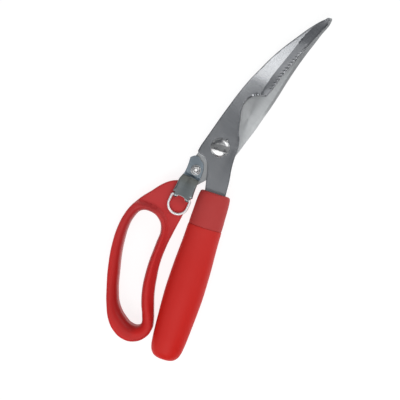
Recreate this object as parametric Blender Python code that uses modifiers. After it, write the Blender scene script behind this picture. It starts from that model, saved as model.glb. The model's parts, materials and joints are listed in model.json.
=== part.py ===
"""Poultry shears with a finger-loop handle, a straight sleeved grip, a latch and a pull ring.

The shears lie flat and closed with the blade tips towards +Y. Every size below is in
millimetres and is turned into metres by MM. X and Y are measured from the pivot's axis, and Z
from the plane in which the two blades slide on each other; the empties put the result in the
part's own frame, whose origin is the centre of the footprint at the height of the lowest point.
"""

import math

import bmesh
import bpy
from mathutils import Matrix, Vector

MM = 0.001
OBJECT_NAME = "poultry_shears"
CORNER = "corner"

# Fits between neighbouring pieces
GAP = 0.3
HARDWARE_GAP = 0.2
RUNNING_CLEARANCE = 0.1

# Blades
BLADE_THICKNESS = 3.0
BLADE_TIP_THICKNESS = 1.7
TAPER_START_Y = 48.0
TIP_Y = 111.0
EDGE_THICKNESS = 0.5
SERRATION_PITCH = 2.42
SERRATION_COUNT = 15
SERRATION_RADIUS = 0.75
SERRATION_LENGTH = 4.6
SERRATION_HEIGHT = 1.45
SERRATION_START = (15.9, 52.5)
SERRATION_SLOPE = 0.225
SERRATION_BOW = 0.0008
SERRATION_WAY = (1.0, -0.27, -0.42)

# Straight grip, turned about its own axis and then flattened
GRIP_TOP = (10.45, -29.6)
GRIP_TILT = math.radians(7.35)
GRIP_FLATNESS = 0.8
GRIP_MAX_RADIUS = 13.55
GRIP_LENGTH = 120.0
COLLAR_LENGTH = 24.2
STEM_RADIUS = 8.0
STEM_END = 104.0
FRONT_TANG_END = 72.0
GRIP_STEPS = 36

# Loop handle
LOOP_HALF_THICKNESS = 6.5
LOOP_EDGE_RADIUS = 1.4
WEB_TOP = 2.2
WEB_BOTTOM = -5.5
WEB_EDGE_RADIUS = 1.4

# Pivot
PIVOT_SHANK_RADIUS = 3.0
PIVOT_HEAD_RADIUS = 6.5
PIVOT_HEAD_RIM = 1.1
PIVOT_HEAD_DOME = 1.9
PIVOT_SLOT_WIDTH = 4.2
PIVOT_SLOT_DEPTH = 1.5
LOCK_PIN_RADIUS = 0.8
LOCK_PIN_AT = (2.25, 5.95)
SPRING_WASHER_RADIUS = 5.2
SPRING_WASHER_THICKNESS = 0.6
NUT_RADIUS = 5.4
NUT_HEIGHT = 3.0

# Latch
RIVET_AT = (-8.6, -20.75)
RIVET_SHANK_RADIUS = 2.0
RIVET_BORE_RADIUS = 1.05
RIVET_HEAD_RADIUS = 2.9
RIVET_HEAD_HEIGHT = 1.2
RIVET_FOOT_RADIUS = 3.3
RIVET_FOOT_HEIGHT = 0.9
LATCH_WASHER_RADIUS = 3.6
LATCH_WASHER_THICKNESS = 0.5
SHEET = 1.3
JOGGLE_TOP_Y = -25.2
JOGGLE_RUN = 1.3
KNUCKLE_Y = -41.5
KNUCKLE_RADIUS = 1.8
KNUCKLE_SPANS = ((-15.2, -12.9), (-6.4, -4.1))
FLANGE_THICKNESS = 1.2

# Pull ring
WIRE_RADIUS = 0.85
RING_CENTRE = (-9.65, -47.0)
RING_RADIUS = 6.75
RING_ELBOW_RADIUS = 1.3
RING_STUB = 2.7

# Heights that follow from the sizes above
BLADE_BOTTOM = GAP / 2
BLADE_TOP = BLADE_BOTTOM + BLADE_THICKNESS
PIVOT_HEIGHT = GRIP_MAX_RADIUS * GRIP_FLATNESS
KNUCKLE_Z = WEB_TOP + GAP + KNUCKLE_RADIUS
TAIL_TOP = KNUCKLE_Z + KNUCKLE_RADIUS
TAIL_BOTTOM = TAIL_TOP - SHEET
PLATE_BOTTOM = GAP / 2
PLATE_TOP = PLATE_BOTTOM + SHEET

# Where the pivot's axis stands in the part's frame
PIVOT_AT = (2.3, 18.8, PIVOT_HEIGHT)

# Outlines, each point smooth unless it is marked as a corner
FRONT_BLADE = [
    (30.1, 110.4), (27.4, 107.9), (21.5, 100.0), (15.8, 90.0), (10.4, 80.0), (5.8, 70.0),
    (2.1, 60.0), (-1.4, 50.0), (-4.1, 40.0), (-6.3, 30.0), (-8.3, 20.0), (-10.1, 10.0),
    (-11.7, 1.0), (-12.6, -4.0), (-12.9, -8.2, CORNER), (-11.9, -9.5, CORNER),
    (-6.9, -10.5), (-4.4, -12.6), (-1.2, -18.0), (0.7, -24.0), (2.7, -30.0, CORNER),
]
FRONT_BLADE_CUTTING_SIDE = [
    (17.5, -29.6, CORNER), (16.9, -26.0), (15.4, -18.0), (13.3, -10.0), (12.1, -3.0),
    (11.6, 3.0), (9.8, 10.0), (6.7, 16.0), (4.0, 24.0), (2.4, 29.5), (2.3, 34.5),
    (4.5, 39.6), (8.0, 42.4), (11.6, 43.8), (13.7, 44.7, CORNER), (15.4, 50.0),
    (17.3, 60.0), (19.8, 70.0), (22.7, 80.0), (25.5, 89.0), (29.0, 100.0), (30.9, 107.0),
]
REAR_BLADE = [
    (31.4, 110.9), (32.3, 108.0), (31.7, 104.0), (30.2, 99.5), (28.5, 92.0), (25.8, 80.0),
    (24.0, 70.0), (22.5, 60.0), (21.3, 50.0), (19.9, 40.0), (18.1, 30.0), (16.4, 20.0),
    (14.2, 10.0), (12.0, 0.0), (9.4, -7.0), (5.6, -15.0), (0.7, -24.0), (-3.4, -29.6),
    (-5.4, -32.4, CORNER), (-6.2, -37.0, CORNER), (-7.2, -54.0), (-9.6, -56.5),
    (-12.0, -54.0), (-13.4, -37.0, CORNER), (-14.4, -34.0, CORNER), (-14.5, -26.0),
    (-14.5, -18.0), (-12.3, -9.0), (-11.0, -1.0), (-8.6, 8.0), (-5.6, 17.0), (-1.6, 32.0),
    (2.6, 45.0), (7.8, 60.0), (14.2, 78.0), (20.8, 94.5), (27.4, 106.5), (29.6, 110.0),
]
LOOP_RIM = [
    (-31.0, -56.6), (-36.6, -58.0), (-39.6, -64.6), (-40.9, -76.0), (-39.7, -89.0),
    (-35.7, -105.0), (-30.1, -120.0), (-25.6, -130.0), (-19.4, -139.8), (-13.3, -144.8),
    (-5.0, -147.3), (2.4, -145.6), (8.2, -140.0), (10.1, -133.0), (6.6, -125.2),
    (1.5, -117.0), (-2.4, -108.0), (-5.2, -98.0), (-7.0, -88.0), (-7.9, -78.0),
    (-9.0, -69.5), (-11.6, -63.0), (-15.8, -58.9), (-20.5, -56.8), (-25.5, -56.2),
]
FINGER_HOLE = [
    (-25.0, -59.7), (-31.2, -61.9), (-34.1, -68.5), (-34.6, -76.0), (-33.4, -85.0),
    (-31.1, -95.0), (-27.8, -105.0), (-22.1, -120.0), (-17.2, -128.0), (-9.8, -133.8),
    (-3.9, -136.0), (0.6, -134.9), (1.8, -132.4), (-0.1, -127.0), (-3.9, -120.0),
    (-7.8, -110.0), (-10.1, -100.0), (-11.5, -90.0), (-12.3, -78.0), (-13.4, -67.5),
    (-17.4, -62.0),
]
LOOP_WEB = [
    (-16.4, -31.9, CORNER), (-20.6, -34.2), (-25.6, -39.2), (-30.5, -46.6), (-35.2, -53.8),
    (-38.2, -61.0, CORNER), (-35.6, -61.6, CORNER), (-31.5, -59.1), (-25.0, -57.9),
    (-16.5, -60.2), (-11.4, -66.5),
    (-10.3, -77.0), (-9.4, -89.0), (-7.3, -101.0), (-3.4, -113.0), (1.4, -123.0),
    (4.4, -129.5, CORNER), (8.9, -127.6, CORNER), (5.3, -120.0), (1.0, -110.0),
    (-1.9, -100.0), (-4.1, -90.0), (-5.0, -78.0), (-4.8, -68.0), (-4.1, -55.0),
    (-3.5, -43.0), (-3.5, -31.9, CORNER),
]
LATCH_PLAN = [
    (-15.8, -14.2, CORNER), (-13.6, -12.0, CORNER), (-10.7, -11.7, CORNER), (-8.2, -13.5),
    (-6.0, -14.7), (-4.4, -17.4), (-3.8, -20.0), (-3.2, -25.4), (-3.3, -31.0),
    (-3.0, -35.0), (-2.4, -39.9, CORNER), (-4.1, -39.9, CORNER), (-4.1, -42.3, CORNER),
    (-6.6, -41.7), (-9.9, -41.0), (-13.0, -41.7), (-15.2, -42.3, CORNER),
    (-15.2, -39.9, CORNER), (-16.9, -39.9, CORNER), (-16.4, -35.0), (-16.4, -31.0),
    (-15.2, -26.0), (-15.1, -20.0),
]
HOLLOW_GRIND = [
    ((9.6, 46.0), (15.0, 44.0)), ((10.3, 52.0), (16.0, 52.0)), ((11.7, 60.0), (17.3, 60.0)),
    ((14.4, 70.0), (19.8, 70.0)), ((16.9, 80.0), (22.7, 80.0)), ((19.4, 90.0), (25.8, 90.0)),
    ((22.6, 100.0), (29.0, 100.0)), ((26.4, 107.0), (31.1, 107.0)), ((29.3, 112.0), (32.6, 112.0)),
]
REAR_GRIND = [
    ((2.6, 32.0), (-1.6, 32.0)), ((7.2, 45.0), (2.6, 45.0)), ((12.6, 60.0), (7.8, 60.0)),
    ((19.0, 78.0), (14.2, 78.0)), ((25.2, 94.5), (20.8, 94.5)), ((30.0, 106.5), (27.0, 106.5)),
    ((31.8, 112.0), (29.6, 112.0)),
]

# Radius of the straight grip at each distance down its axis
COLLAR_PROFILE = [(0.0, 0.0), (9.3, 0.0), (10.2, 0.4), (10.7, 1.4), (11.2, 6.0), (11.5, 14.0),
                  (11.75, 23.6), (11.3, COLLAR_LENGTH)]
SLEEVE_PROFILE = [(11.4, 24.5), (11.95, 25.1), (12.1, 31.0), (12.55, 41.0), (13.1, 51.0),
                  (13.4, 61.0), (GRIP_MAX_RADIUS, 71.0), (13.25, 81.0), (12.7, 91.0), (12.15, 101.0),
                  (11.6, 108.0), (10.7, 113.5), (9.2, 116.8), (6.8, 119.0), (3.6, 119.8),
                  (0.0, GRIP_LENGTH)]


def clear_scene():
    for obj in list(bpy.data.objects):
        bpy.data.objects.remove(obj, do_unlink=True)


def make_collection(name):
    collection = bpy.data.collections.new(name)
    bpy.context.scene.collection.children.link(collection)
    return collection


def make_material(name, colour, roughness, metallic):
    material = bpy.data.materials.new(name)
    material.use_nodes = True
    shader = material.node_tree.nodes["Principled BSDF"]
    shader.inputs["Base Color"].default_value = (*colour, 1.0)
    shader.inputs["Roughness"].default_value = roughness
    shader.inputs["Metallic"].default_value = metallic
    material.diffuse_color = (*colour, 1.0)
    return material


class Frame:
    """An empty on a joint's axis, and where that axis is, measured from the pivot."""

    def __init__(self, name, origin, parent=None):
        self.origin = Vector(origin) * MM
        self.empty = bpy.data.objects.new(name, None)
        self.empty.empty_display_size = 0.01
        bpy.context.scene.collection.objects.link(self.empty)
        if parent is None:
            self.empty.location = Vector(PIVOT_AT) * MM + self.origin
        else:
            self.empty.parent = parent.empty
            self.empty.location = self.origin - parent.origin


def evaluated_mesh(obj):
    """The object's mesh with its modifiers applied and its loose caps welded; it replaces obj."""
    bpy.context.view_layer.update()
    depsgraph = bpy.context.evaluated_depsgraph_get()
    mesh = bpy.data.meshes.new_from_object(obj.evaluated_get(depsgraph))
    mesh.transform(obj.matrix_world)
    bpy.data.objects.remove(obj, do_unlink=True)
    bm = bmesh.new()
    bm.from_mesh(mesh)
    bmesh.ops.remove_doubles(bm, verts=bm.verts, dist=1e-6)
    bmesh.ops.recalc_face_normals(bm, faces=bm.faces)
    bm.to_mesh(mesh)
    bm.free()
    return mesh


def add_part(name, mesh, frame, material, smooth_angle=35.0):
    """A visible piece, with its origin on its frame's axis."""
    mesh.name = name
    mesh.transform(Matrix.Translation(-frame.origin))
    mesh.materials.clear()
    mesh.materials.append(material)
    mesh.shade_smooth()
    mesh.set_sharp_from_angle(angle=math.radians(smooth_angle))
    obj = bpy.data.objects.new(name, mesh)
    obj.parent = frame.empty
    parts.objects.link(obj)
    return obj


def combine(target, mesh, frame, operation="DIFFERENCE"):
    """Cut a mesh out of a piece, or join it on, with a hidden guide object."""
    mesh.transform(Matrix.Translation(-frame.origin))
    guide = bpy.data.objects.new(f"{target.name}_{operation.lower()}_{len(target.modifiers)}", mesh)
    guide.parent = frame.empty
    guide.hide_render = True
    guide.display_type = "WIRE"
    guides.objects.link(guide)
    modifier = target.modifiers.new(guide.name, "BOOLEAN")
    modifier.operation = operation
    modifier.solver = "EXACT"
    modifier.object = guide


def weld_slivers(target):
    weld = target.modifiers.new("weld", "WELD")
    weld.merge_threshold = 0.00003


def curve_object(curve):
    obj = bpy.data.objects.new(curve.name, curve)
    guides.objects.link(obj)
    return obj


def add_outline(curve, outline):
    spline = curve.splines.new("BEZIER")
    spline.bezier_points.add(len(outline) - 1)
    for point, spot in zip(spline.bezier_points, outline):
        point.co = (spot[0] * MM, spot[1] * MM, 0.0)
        handle = "VECTOR" if CORNER in spot else "AUTO"
        point.handle_left_type = handle
        point.handle_right_type = handle
    spline.use_cyclic_u = True


def add_circle(curve, centre, radius, steps):
    spline = curve.splines.new("POLY")
    spline.points.add(steps - 1)
    for index, point in enumerate(spline.points):
        angle = 2 * math.pi * index / steps
        x = centre[0] + radius * math.cos(angle)
        y = centre[1] + radius * math.sin(angle)
        point.co = (x * MM, y * MM, 0.0, 1.0)
    spline.use_cyclic_u = True


def plate_mesh(outline, bottom, top, edge_radius=0.0, edge_steps=1, resolution=3, openings=(),
               holes=()):
    """A flat plate with its faces square to Z, its edges rounded where edge_radius is given."""
    curve = bpy.data.curves.new("plate", "CURVE")
    curve.dimensions = "2D"
    curve.fill_mode = "BOTH"
    curve.resolution_u = resolution
    curve.extrude = ((top - bottom) / 2 - edge_radius) * MM
    curve.bevel_depth = edge_radius * MM
    curve.bevel_resolution = edge_steps
    curve.offset = -edge_radius * MM
    add_outline(curve, outline)
    for opening in openings:
        add_outline(curve, opening)
    for centre, radius, steps in holes:
        add_circle(curve, centre, radius, steps)
    obj = curve_object(curve)
    obj.location.z = (top + bottom) / 2 * MM
    return evaluated_mesh(obj)


def turned_mesh(profile, steps, closed=False):
    """A profile of (radius, height) points, from the top down its outer side, turned about Z."""
    mesh = bpy.data.meshes.new("profile")
    points = [(radius * MM, 0.0, height * MM) for radius, height in profile]
    edges = [(index, index + 1) for index in range(len(points) - 1)]
    if closed:
        edges.append((len(points) - 1, 0))
    mesh.from_pydata(points, edges, [])
    obj = bpy.data.objects.new("profile", mesh)
    guides.objects.link(obj)
    screw = obj.modifiers.new("turn", "SCREW")
    screw.steps = steps
    screw.render_steps = steps
    screw.use_merge_vertices = True
    screw.merge_threshold = 0.00001
    return evaluated_mesh(obj)


def moved(mesh, x=0.0, y=0.0, z=0.0):
    mesh.transform(Matrix.Translation(Vector((x, y, z)) * MM))
    return mesh


def cylinder_mesh(radius, bottom, top, steps=24, centre=(0.0, 0.0)):
    mesh = turned_mesh([(0.0, top), (radius, top), (radius, bottom), (0.0, bottom)], steps)
    return moved(mesh, centre[0], centre[1])


def ring_mesh(inner, outer, bottom, top, steps=32, centre=(0.0, 0.0)):
    profile = [(inner, top), (outer, top), (outer, bottom), (inner, bottom)]
    return moved(turned_mesh(profile, steps, closed=True), centre[0], centre[1])


def grind_mesh(stations, face, edge, clear):
    """The wedge ground off a blade, lofted along the edge.

    Each station gives the grind's start on the face and the edge itself. The wedge's underside
    falls from the height `face` to the height `edge`, and its back stands at `clear`.
    """
    run_out = 0.4
    bm = bmesh.new()
    sections = []
    for start, end in stations:
        start = Vector(start)
        end = Vector(end)
        overrun = (end - start) * run_out
        slope = (edge - face) * run_out
        corners = (
            (start - overrun, face - slope), (end + overrun, edge + slope),
            (end + overrun, clear), (start - overrun, clear),
        )
        sections.append([bm.verts.new((p.x * MM, p.y * MM, z * MM)) for p, z in corners])
    for first, second in zip(sections, sections[1:]):
        for i in range(4):
            j = (i + 1) % 4
            bm.faces.new((first[i], first[j], second[j], second[i]))
    bm.faces.new(sections[0])
    bm.faces.new(reversed(sections[-1]))
    bmesh.ops.recalc_face_normals(bm, faces=bm.faces)
    mesh = bpy.data.meshes.new("grind")
    bm.to_mesh(mesh)
    bm.free()
    return mesh


def box_mesh(size):
    """A box of that size in millimetres, centred on the origin."""
    bm = bmesh.new()
    bmesh.ops.create_cube(bm, size=1.0)
    mesh = bpy.data.meshes.new("box")
    bm.to_mesh(mesh)
    bm.free()
    mesh.transform(Matrix.Diagonal((*(Vector(size) * MM), 1.0)))
    return mesh


def taper_mesh(side):
    """The slab that thins a blade from TAPER_START_Y to its tip, on the face towards side."""
    length = 90.0
    depth = 6.0
    slope = math.atan((BLADE_THICKNESS - BLADE_TIP_THICKNESS) / (TIP_Y - TAPER_START_Y))
    mesh = moved(box_mesh((length, length, depth)), 0.0, length / 2, depth / 2 * side)
    mesh.transform(Matrix.Rotation(-slope * side, 4, "X"))
    return moved(mesh, TIP_Y / 7, TAPER_START_Y, BLADE_TOP * side)


def serration_mesh():
    """Small cylinders that lie across the ground edge, one for each serration."""
    bm = bmesh.new()
    across = Vector(SERRATION_WAY).normalized()
    turn = across.to_track_quat("Z", "Y").to_matrix().to_4x4()
    for index in range(SERRATION_COUNT):
        along = index * SERRATION_PITCH
        x = SERRATION_START[0] + along * SERRATION_SLOPE + along**2 * SERRATION_BOW
        y = SERRATION_START[1] + along
        place = Matrix.Translation(Vector((x, y, SERRATION_HEIGHT)) * MM)
        bmesh.ops.create_cone(
            bm, cap_ends=True, segments=8, radius1=SERRATION_RADIUS * MM,
            radius2=SERRATION_RADIUS * MM, depth=SERRATION_LENGTH * MM, matrix=place @ turn,
        )
    mesh = bpy.data.meshes.new("serrations")
    bm.to_mesh(mesh)
    bm.free()
    return mesh


def along_grip(distance, offset):
    """A point down the straight grip's axis, offset towards +X."""
    x = GRIP_TOP[0] + distance * math.sin(GRIP_TILT) + offset * math.cos(GRIP_TILT)
    y = GRIP_TOP[1] - distance * math.cos(GRIP_TILT) + offset * math.sin(GRIP_TILT)
    return (x, y)


def front_tang(clearance=0.0, top=0.0):
    """The hidden tang inside the straight grip, from its right shoulder round to its left."""
    wide = 7.5 + clearance
    narrow = 4.3 + clearance
    end = FRONT_TANG_END + clearance
    return [
        (*along_grip(top, wide), CORNER), (*along_grip(9.0, wide), CORNER),
        (*along_grip(15.0 + clearance, narrow), CORNER), (*along_grip(end - narrow, narrow), CORNER),
        along_grip(end, 0.0),
        (*along_grip(end - narrow, -narrow), CORNER), (*along_grip(15.0 + clearance, -narrow), CORNER),
        (*along_grip(9.0, -wide), CORNER), (*along_grip(top, -wide), CORNER),
    ]


def grip_mesh(profile):
    """A turned profile of (radius, distance down the grip), flattened and laid along the grip."""
    mesh = turned_mesh([(radius, -distance) for radius, distance in profile], GRIP_STEPS)
    mesh.transform(Matrix.Diagonal((1.0, GRIP_FLATNESS, 1.0, 1.0)))
    mesh.transform(Matrix.Rotation(math.radians(-90.0), 4, "X"))
    mesh.transform(Matrix.Rotation(GRIP_TILT, 4, "Z"))
    return moved(mesh, *GRIP_TOP)


def make_front_blade():
    outline = FRONT_BLADE + list(reversed(front_tang(top=1.5))) + FRONT_BLADE_CUTTING_SIDE
    mesh = plate_mesh(outline, BLADE_BOTTOM, BLADE_TOP, resolution=3, holes=(
        ((0.0, 0.0), PIVOT_SHANK_RADIUS + RUNNING_CLEARANCE, 32),
        (LOCK_PIN_AT, LOCK_PIN_RADIUS + HARDWARE_GAP, 12),
    ))
    blade = add_part("front_blade", mesh, front_half, blade_steel)
    combine(blade, taper_mesh(1.0), front_half)
    grind = grind_mesh(HOLLOW_GRIND, BLADE_TOP, BLADE_BOTTOM + EDGE_THICKNESS, BLADE_TOP + 2.0)
    combine(blade, grind, front_half)
    combine(blade, serration_mesh(), front_half)


def make_rear_blade():
    mesh = plate_mesh(REAR_BLADE, -BLADE_TOP, -BLADE_BOTTOM, resolution=3, holes=(
        ((0.0, 0.0), PIVOT_SHANK_RADIUS + RUNNING_CLEARANCE, 32),
        (RIVET_AT, RIVET_SHANK_RADIUS + RUNNING_CLEARANCE, 24),
    ))
    blade = add_part("rear_blade", mesh, rear_half, blade_steel)
    combine(blade, taper_mesh(-1.0), rear_half)
    grind = grind_mesh(REAR_GRIND, -BLADE_TOP, -BLADE_BOTTOM - EDGE_THICKNESS, -BLADE_TOP - 2.0)
    combine(blade, grind, rear_half)


def make_pivot():
    under_head = BLADE_TOP + HARDWARE_GAP
    rim_top = under_head + PIVOT_HEAD_RIM
    end = -BLADE_TOP - SPRING_WASHER_THICKNESS - NUT_HEIGHT - 3 * HARDWARE_GAP - 0.4
    dome = []
    for index in range(6):
        angle = math.radians(90.0 - 18.0 * index)
        radius = (PIVOT_HEAD_RADIUS - 0.4) * math.cos(angle)
        dome.append((radius, rim_top + PIVOT_HEAD_DOME * math.sin(angle)))
    dome[0] = (0.0, rim_top + PIVOT_HEAD_DOME)
    profile = dome + [
        (PIVOT_HEAD_RADIUS, rim_top - 0.4), (PIVOT_HEAD_RADIUS, under_head),
        (PIVOT_SHANK_RADIUS, under_head), (PIVOT_SHANK_RADIUS, end + 0.4),
        (PIVOT_SHANK_RADIUS - 0.4, end), (0.0, end),
    ]
    screw = add_part("pivot_screw", turned_mesh(profile, 32), front_half, bright_steel)
    top = rim_top + PIVOT_HEAD_DOME
    slot = box_mesh((2.5 * PIVOT_HEAD_RADIUS, PIVOT_SLOT_WIDTH, 2 * PIVOT_SLOT_DEPTH))
    combine(screw, moved(slot, z=top), front_half)
    notch = cylinder_mesh(LOCK_PIN_RADIUS + HARDWARE_GAP, under_head - 1.0, top, 12, LOCK_PIN_AT)
    combine(screw, notch, front_half)
    pin = cylinder_mesh(LOCK_PIN_RADIUS, BLADE_BOTTOM + GAP, rim_top + 0.1, 12, LOCK_PIN_AT)
    add_part("pivot_lock_pin", pin, front_half, bright_steel)

    washer_top = -BLADE_TOP - HARDWARE_GAP
    washer_bottom = washer_top - SPRING_WASHER_THICKNESS
    bore = PIVOT_SHANK_RADIUS + HARDWARE_GAP
    washer = ring_mesh(bore, SPRING_WASHER_RADIUS, washer_bottom, washer_top)
    add_part("pivot_spring_washer", washer, front_half, bright_steel)
    nut_top = washer_bottom - HARDWARE_GAP
    nut_bottom = nut_top - NUT_HEIGHT
    nut = add_part("pivot_nut", cylinder_mesh(NUT_RADIUS, nut_bottom, nut_top, 6), front_half,
                   bright_steel, smooth_angle=20.0)
    combine(nut, cylinder_mesh(bore, nut_bottom - 1.0, nut_top + 1.0, 24), front_half)


def make_latch_lever():
    """One sheet: plate on the tang, a joggle up over the handle, and a tail with side flanges."""
    rise = TAIL_TOP - PLATE_TOP
    slant = math.hypot(rise, JOGGLE_RUN)
    back = SHEET * slant / rise
    tilt = SHEET * (slant - JOGGLE_RUN) / rise
    side = [
        (-8.0, PLATE_TOP), (JOGGLE_TOP_Y, PLATE_TOP), (JOGGLE_TOP_Y - JOGGLE_RUN, TAIL_TOP),
        (-46.0, TAIL_TOP), (-46.0, TAIL_BOTTOM), (JOGGLE_TOP_Y - JOGGLE_RUN - tilt, TAIL_BOTTOM),
        (JOGGLE_TOP_Y - back + SHEET * JOGGLE_RUN / rise, PLATE_BOTTOM), (-8.0, PLATE_BOTTOM),
    ]
    sheet = plate_mesh([(*point, CORNER) for point in side], -20.0, 0.0, resolution=1)
    upright = Matrix(((0.0, 0.0, 1.0, 0.0), (1.0, 0.0, 0.0, 0.0), (0.0, 1.0, 0.0, 0.0),
                      (0.0, 0.0, 0.0, 1.0)))
    sheet.transform(upright)
    lever = add_part("latch_lever", sheet, latch, blade_steel, smooth_angle=30.0)
    plan = plate_mesh(LATCH_PLAN, -2.0, 9.0, resolution=2, holes=(
        (RIVET_AT, RIVET_SHANK_RADIUS + RUNNING_CLEARANCE, 24),
    ))
    combine(lever, plan, latch, "INTERSECT")

    low = WEB_TOP + GAP
    lap = 0.6
    for side in ([(-16.4, -31.0), (-16.4, -35.0), (-16.9, -39.9)],
                 [(-3.3, -31.0), (-3.0, -35.0), (-2.4, -39.9)]):
        inward = FLANGE_THICKNESS if side[0][0] < RIVET_AT[0] else -FLANGE_THICKNESS
        skin = 0.02 if inward > 0 else -0.02
        strip = [(x + skin, y, CORNER) for x, y in side]
        strip += [(x + inward, y, CORNER) for x, y in reversed(side)]
        combine(lever, plate_mesh(strip, low, TAIL_BOTTOM + lap, resolution=1), latch, "UNION")
    for start, end in KNUCKLE_SPANS:
        knuckle = turned_mesh([(0.0, end), (KNUCKLE_RADIUS - 0.02, end),
                               (KNUCKLE_RADIUS - 0.02, start), (0.0, start)], 20)
        knuckle.transform(Matrix.Rotation(math.radians(90.0), 4, "Y"))
        combine(lever, moved(knuckle, 0.0, KNUCKLE_Y, KNUCKLE_Z), latch, "UNION")
    bore = turned_mesh([(0.0, 2.0), (WIRE_RADIUS + 0.15, 2.0), (WIRE_RADIUS + 0.15, -22.0),
                        (0.0, -22.0)], 20)
    bore.transform(Matrix.Rotation(math.radians(90.0), 4, "Y"))
    combine(lever, moved(bore, 0.0, KNUCKLE_Y, KNUCKLE_Z), latch)


def make_latch_rivet():
    washer_bottom = PLATE_TOP + HARDWARE_GAP
    washer_top = washer_bottom + LATCH_WASHER_THICKNESS
    washer = ring_mesh(RIVET_SHANK_RADIUS + HARDWARE_GAP, LATCH_WASHER_RADIUS, washer_bottom,
                       washer_top, 28, RIVET_AT)
    add_part("latch_washer", washer, latch, bright_steel)
    head = washer_top + HARDWARE_GAP
    foot = -BLADE_TOP - HARDWARE_GAP
    crown = head + RIVET_HEAD_HEIGHT
    profile = [
        (RIVET_BORE_RADIUS, crown - 0.5), (RIVET_BORE_RADIUS + 0.4, crown),
        (RIVET_HEAD_RADIUS - 0.7, crown), (RIVET_HEAD_RADIUS - 0.1, crown - 0.5),
        (RIVET_HEAD_RADIUS, head), (RIVET_SHANK_RADIUS, head), (RIVET_SHANK_RADIUS, foot),
        (RIVET_FOOT_RADIUS, foot), (RIVET_FOOT_RADIUS - 0.3, foot - RIVET_FOOT_HEIGHT),
        (RIVET_BORE_RADIUS, foot - RIVET_FOOT_HEIGHT),
    ]
    mesh = moved(turned_mesh(profile, 28, closed=True), *RIVET_AT)
    add_part("latch_rivet", mesh, rear_half, bright_steel)


def ring_route():
    """Half of the ring's wire, from its stub in a knuckle to its lowest point, seen from +X."""
    arm_x = RING_RADIUS
    elbow = RING_ELBOW_RADIUS
    top = KNUCKLE_Y - RING_CENTRE[1]
    route = [(arm_x - elbow - RING_STUB, top), (arm_x - elbow, top)]
    for angle in (67.5, 45.0, 22.5, 0.0):
        x = arm_x - elbow + elbow * math.cos(math.radians(angle))
        y = top - elbow + elbow * math.sin(math.radians(angle))
        route.append((x, y))
    for index in range(9):
        angle = math.radians(-11.25 * index)
        route.append((RING_RADIUS * math.cos(angle), RING_RADIUS * math.sin(angle)))
    return route


def make_latch_ring():
    half = ring_route()
    route = half + [(-x, y) for x, y in reversed(half[:-1])]
    top = KNUCKLE_Y - RING_CENTRE[1]
    rest_z = WEB_TOP + GAP + WIRE_RADIUS
    fall = (KNUCKLE_Z - rest_z) / (top + RING_RADIUS)
    curve = bpy.data.curves.new("ring", "CURVE")
    curve.dimensions = "3D"
    curve.bevel_depth = WIRE_RADIUS * MM
    curve.bevel_resolution = 3
    curve.use_fill_caps = True
    spline = curve.splines.new("POLY")
    spline.points.add(len(route) - 1)
    for point, (x, y) in zip(spline.points, route):
        z = KNUCKLE_Z - (top - y) * fall
        spot = Vector((RING_CENTRE[0] + x, RING_CENTRE[1] + y, z)) * MM
        point.co = (*spot, 1.0)
    add_part("latch_ring", evaluated_mesh(curve_object(curve)), ring, chrome)


def make_loop_handle():
    rim = plate_mesh(LOOP_RIM, -LOOP_HALF_THICKNESS, LOOP_HALF_THICKNESS, LOOP_EDGE_RADIUS, 2,
                     openings=(FINGER_HOLE,))
    handle = add_part("loop_handle", rim, rear_half, red_plastic)
    web = plate_mesh(LOOP_WEB, WEB_BOTTOM, WEB_TOP, WEB_EDGE_RADIUS, 1)
    combine(handle, web, rear_half, "UNION")
    pocket = [
        (-3.0, -29.8, CORNER), (-4.95, -32.5, CORNER), (-5.8, -37.2, CORNER), (-6.8, -54.2),
        (-9.6, -57.0), (-12.4, -54.2), (-13.8, -37.3, CORNER), (-14.8, -34.2, CORNER),
        (-14.9, -30.0, CORNER),
    ]
    combine(handle, plate_mesh(pocket, -BLADE_TOP - GAP, -BLADE_BOTTOM + GAP), rear_half)
    weld_slivers(handle)


def make_grip():
    stem = [(STEM_RADIUS, COLLAR_LENGTH), (STEM_RADIUS, STEM_END - 1.0),
            (STEM_RADIUS - 1.0, STEM_END), (0.0, STEM_END)]
    core = add_part("grip_core", grip_mesh(COLLAR_PROFILE + stem), front_half, red_plastic)
    pocket = plate_mesh(front_tang(clearance=GAP, top=-3.0), BLADE_BOTTOM - GAP, BLADE_TOP + GAP)
    combine(core, pocket, front_half)
    bore = STEM_RADIUS + GAP / GRIP_FLATNESS
    cavity = [(0.0, STEM_END + GAP), (bore, STEM_END + GAP), (bore, SLEEVE_PROFILE[0][1])]
    add_part("grip_sleeve", grip_mesh(cavity + SLEEVE_PROFILE), front_half, red_plastic)


clear_scene()
parts = make_collection(OBJECT_NAME)
guides = make_collection("guides")
blade_steel = make_material("blade_steel", (0.42, 0.43, 0.44), 0.3, 1.0)
bright_steel = make_material("bright_steel", (0.62, 0.62, 0.62), 0.2, 1.0)
chrome = make_material("chrome", (0.85, 0.85, 0.86), 0.08, 1.0)
red_plastic = make_material("red_plastic", (0.50, 0.03, 0.025), 0.4, 0.0)
rear_half = Frame("rear_half", (0.0, 0.0, 0.0))
front_half = Frame("front_half", (0.0, 0.0, 0.0))
latch = Frame("latch", (*RIVET_AT, 0.0), rear_half)
ring = Frame("ring", (RING_CENTRE[0], KNUCKLE_Y, KNUCKLE_Z), latch)
make_front_blade()
make_rear_blade()
make_pivot()
make_latch_lever()
make_latch_rivet()
make_latch_ring()
make_loop_handle()
make_grip()
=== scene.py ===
"""Studio picture of the poultry shears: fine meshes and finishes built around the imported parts.

Sizes are in millimetres and measured from the pivot's axis, as in the part's source; spot()
turns them into the frame's metres. Outlines are closed loops of (x, y) points, smooth unless a
point is marked as a corner.
"""

import json
import math

import bmesh
import bpy
import numpy as np
from mathutils import Matrix, Vector
from mathutils.geometry import delaunay_2d_cdt
from numpy.linalg import norm


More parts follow.
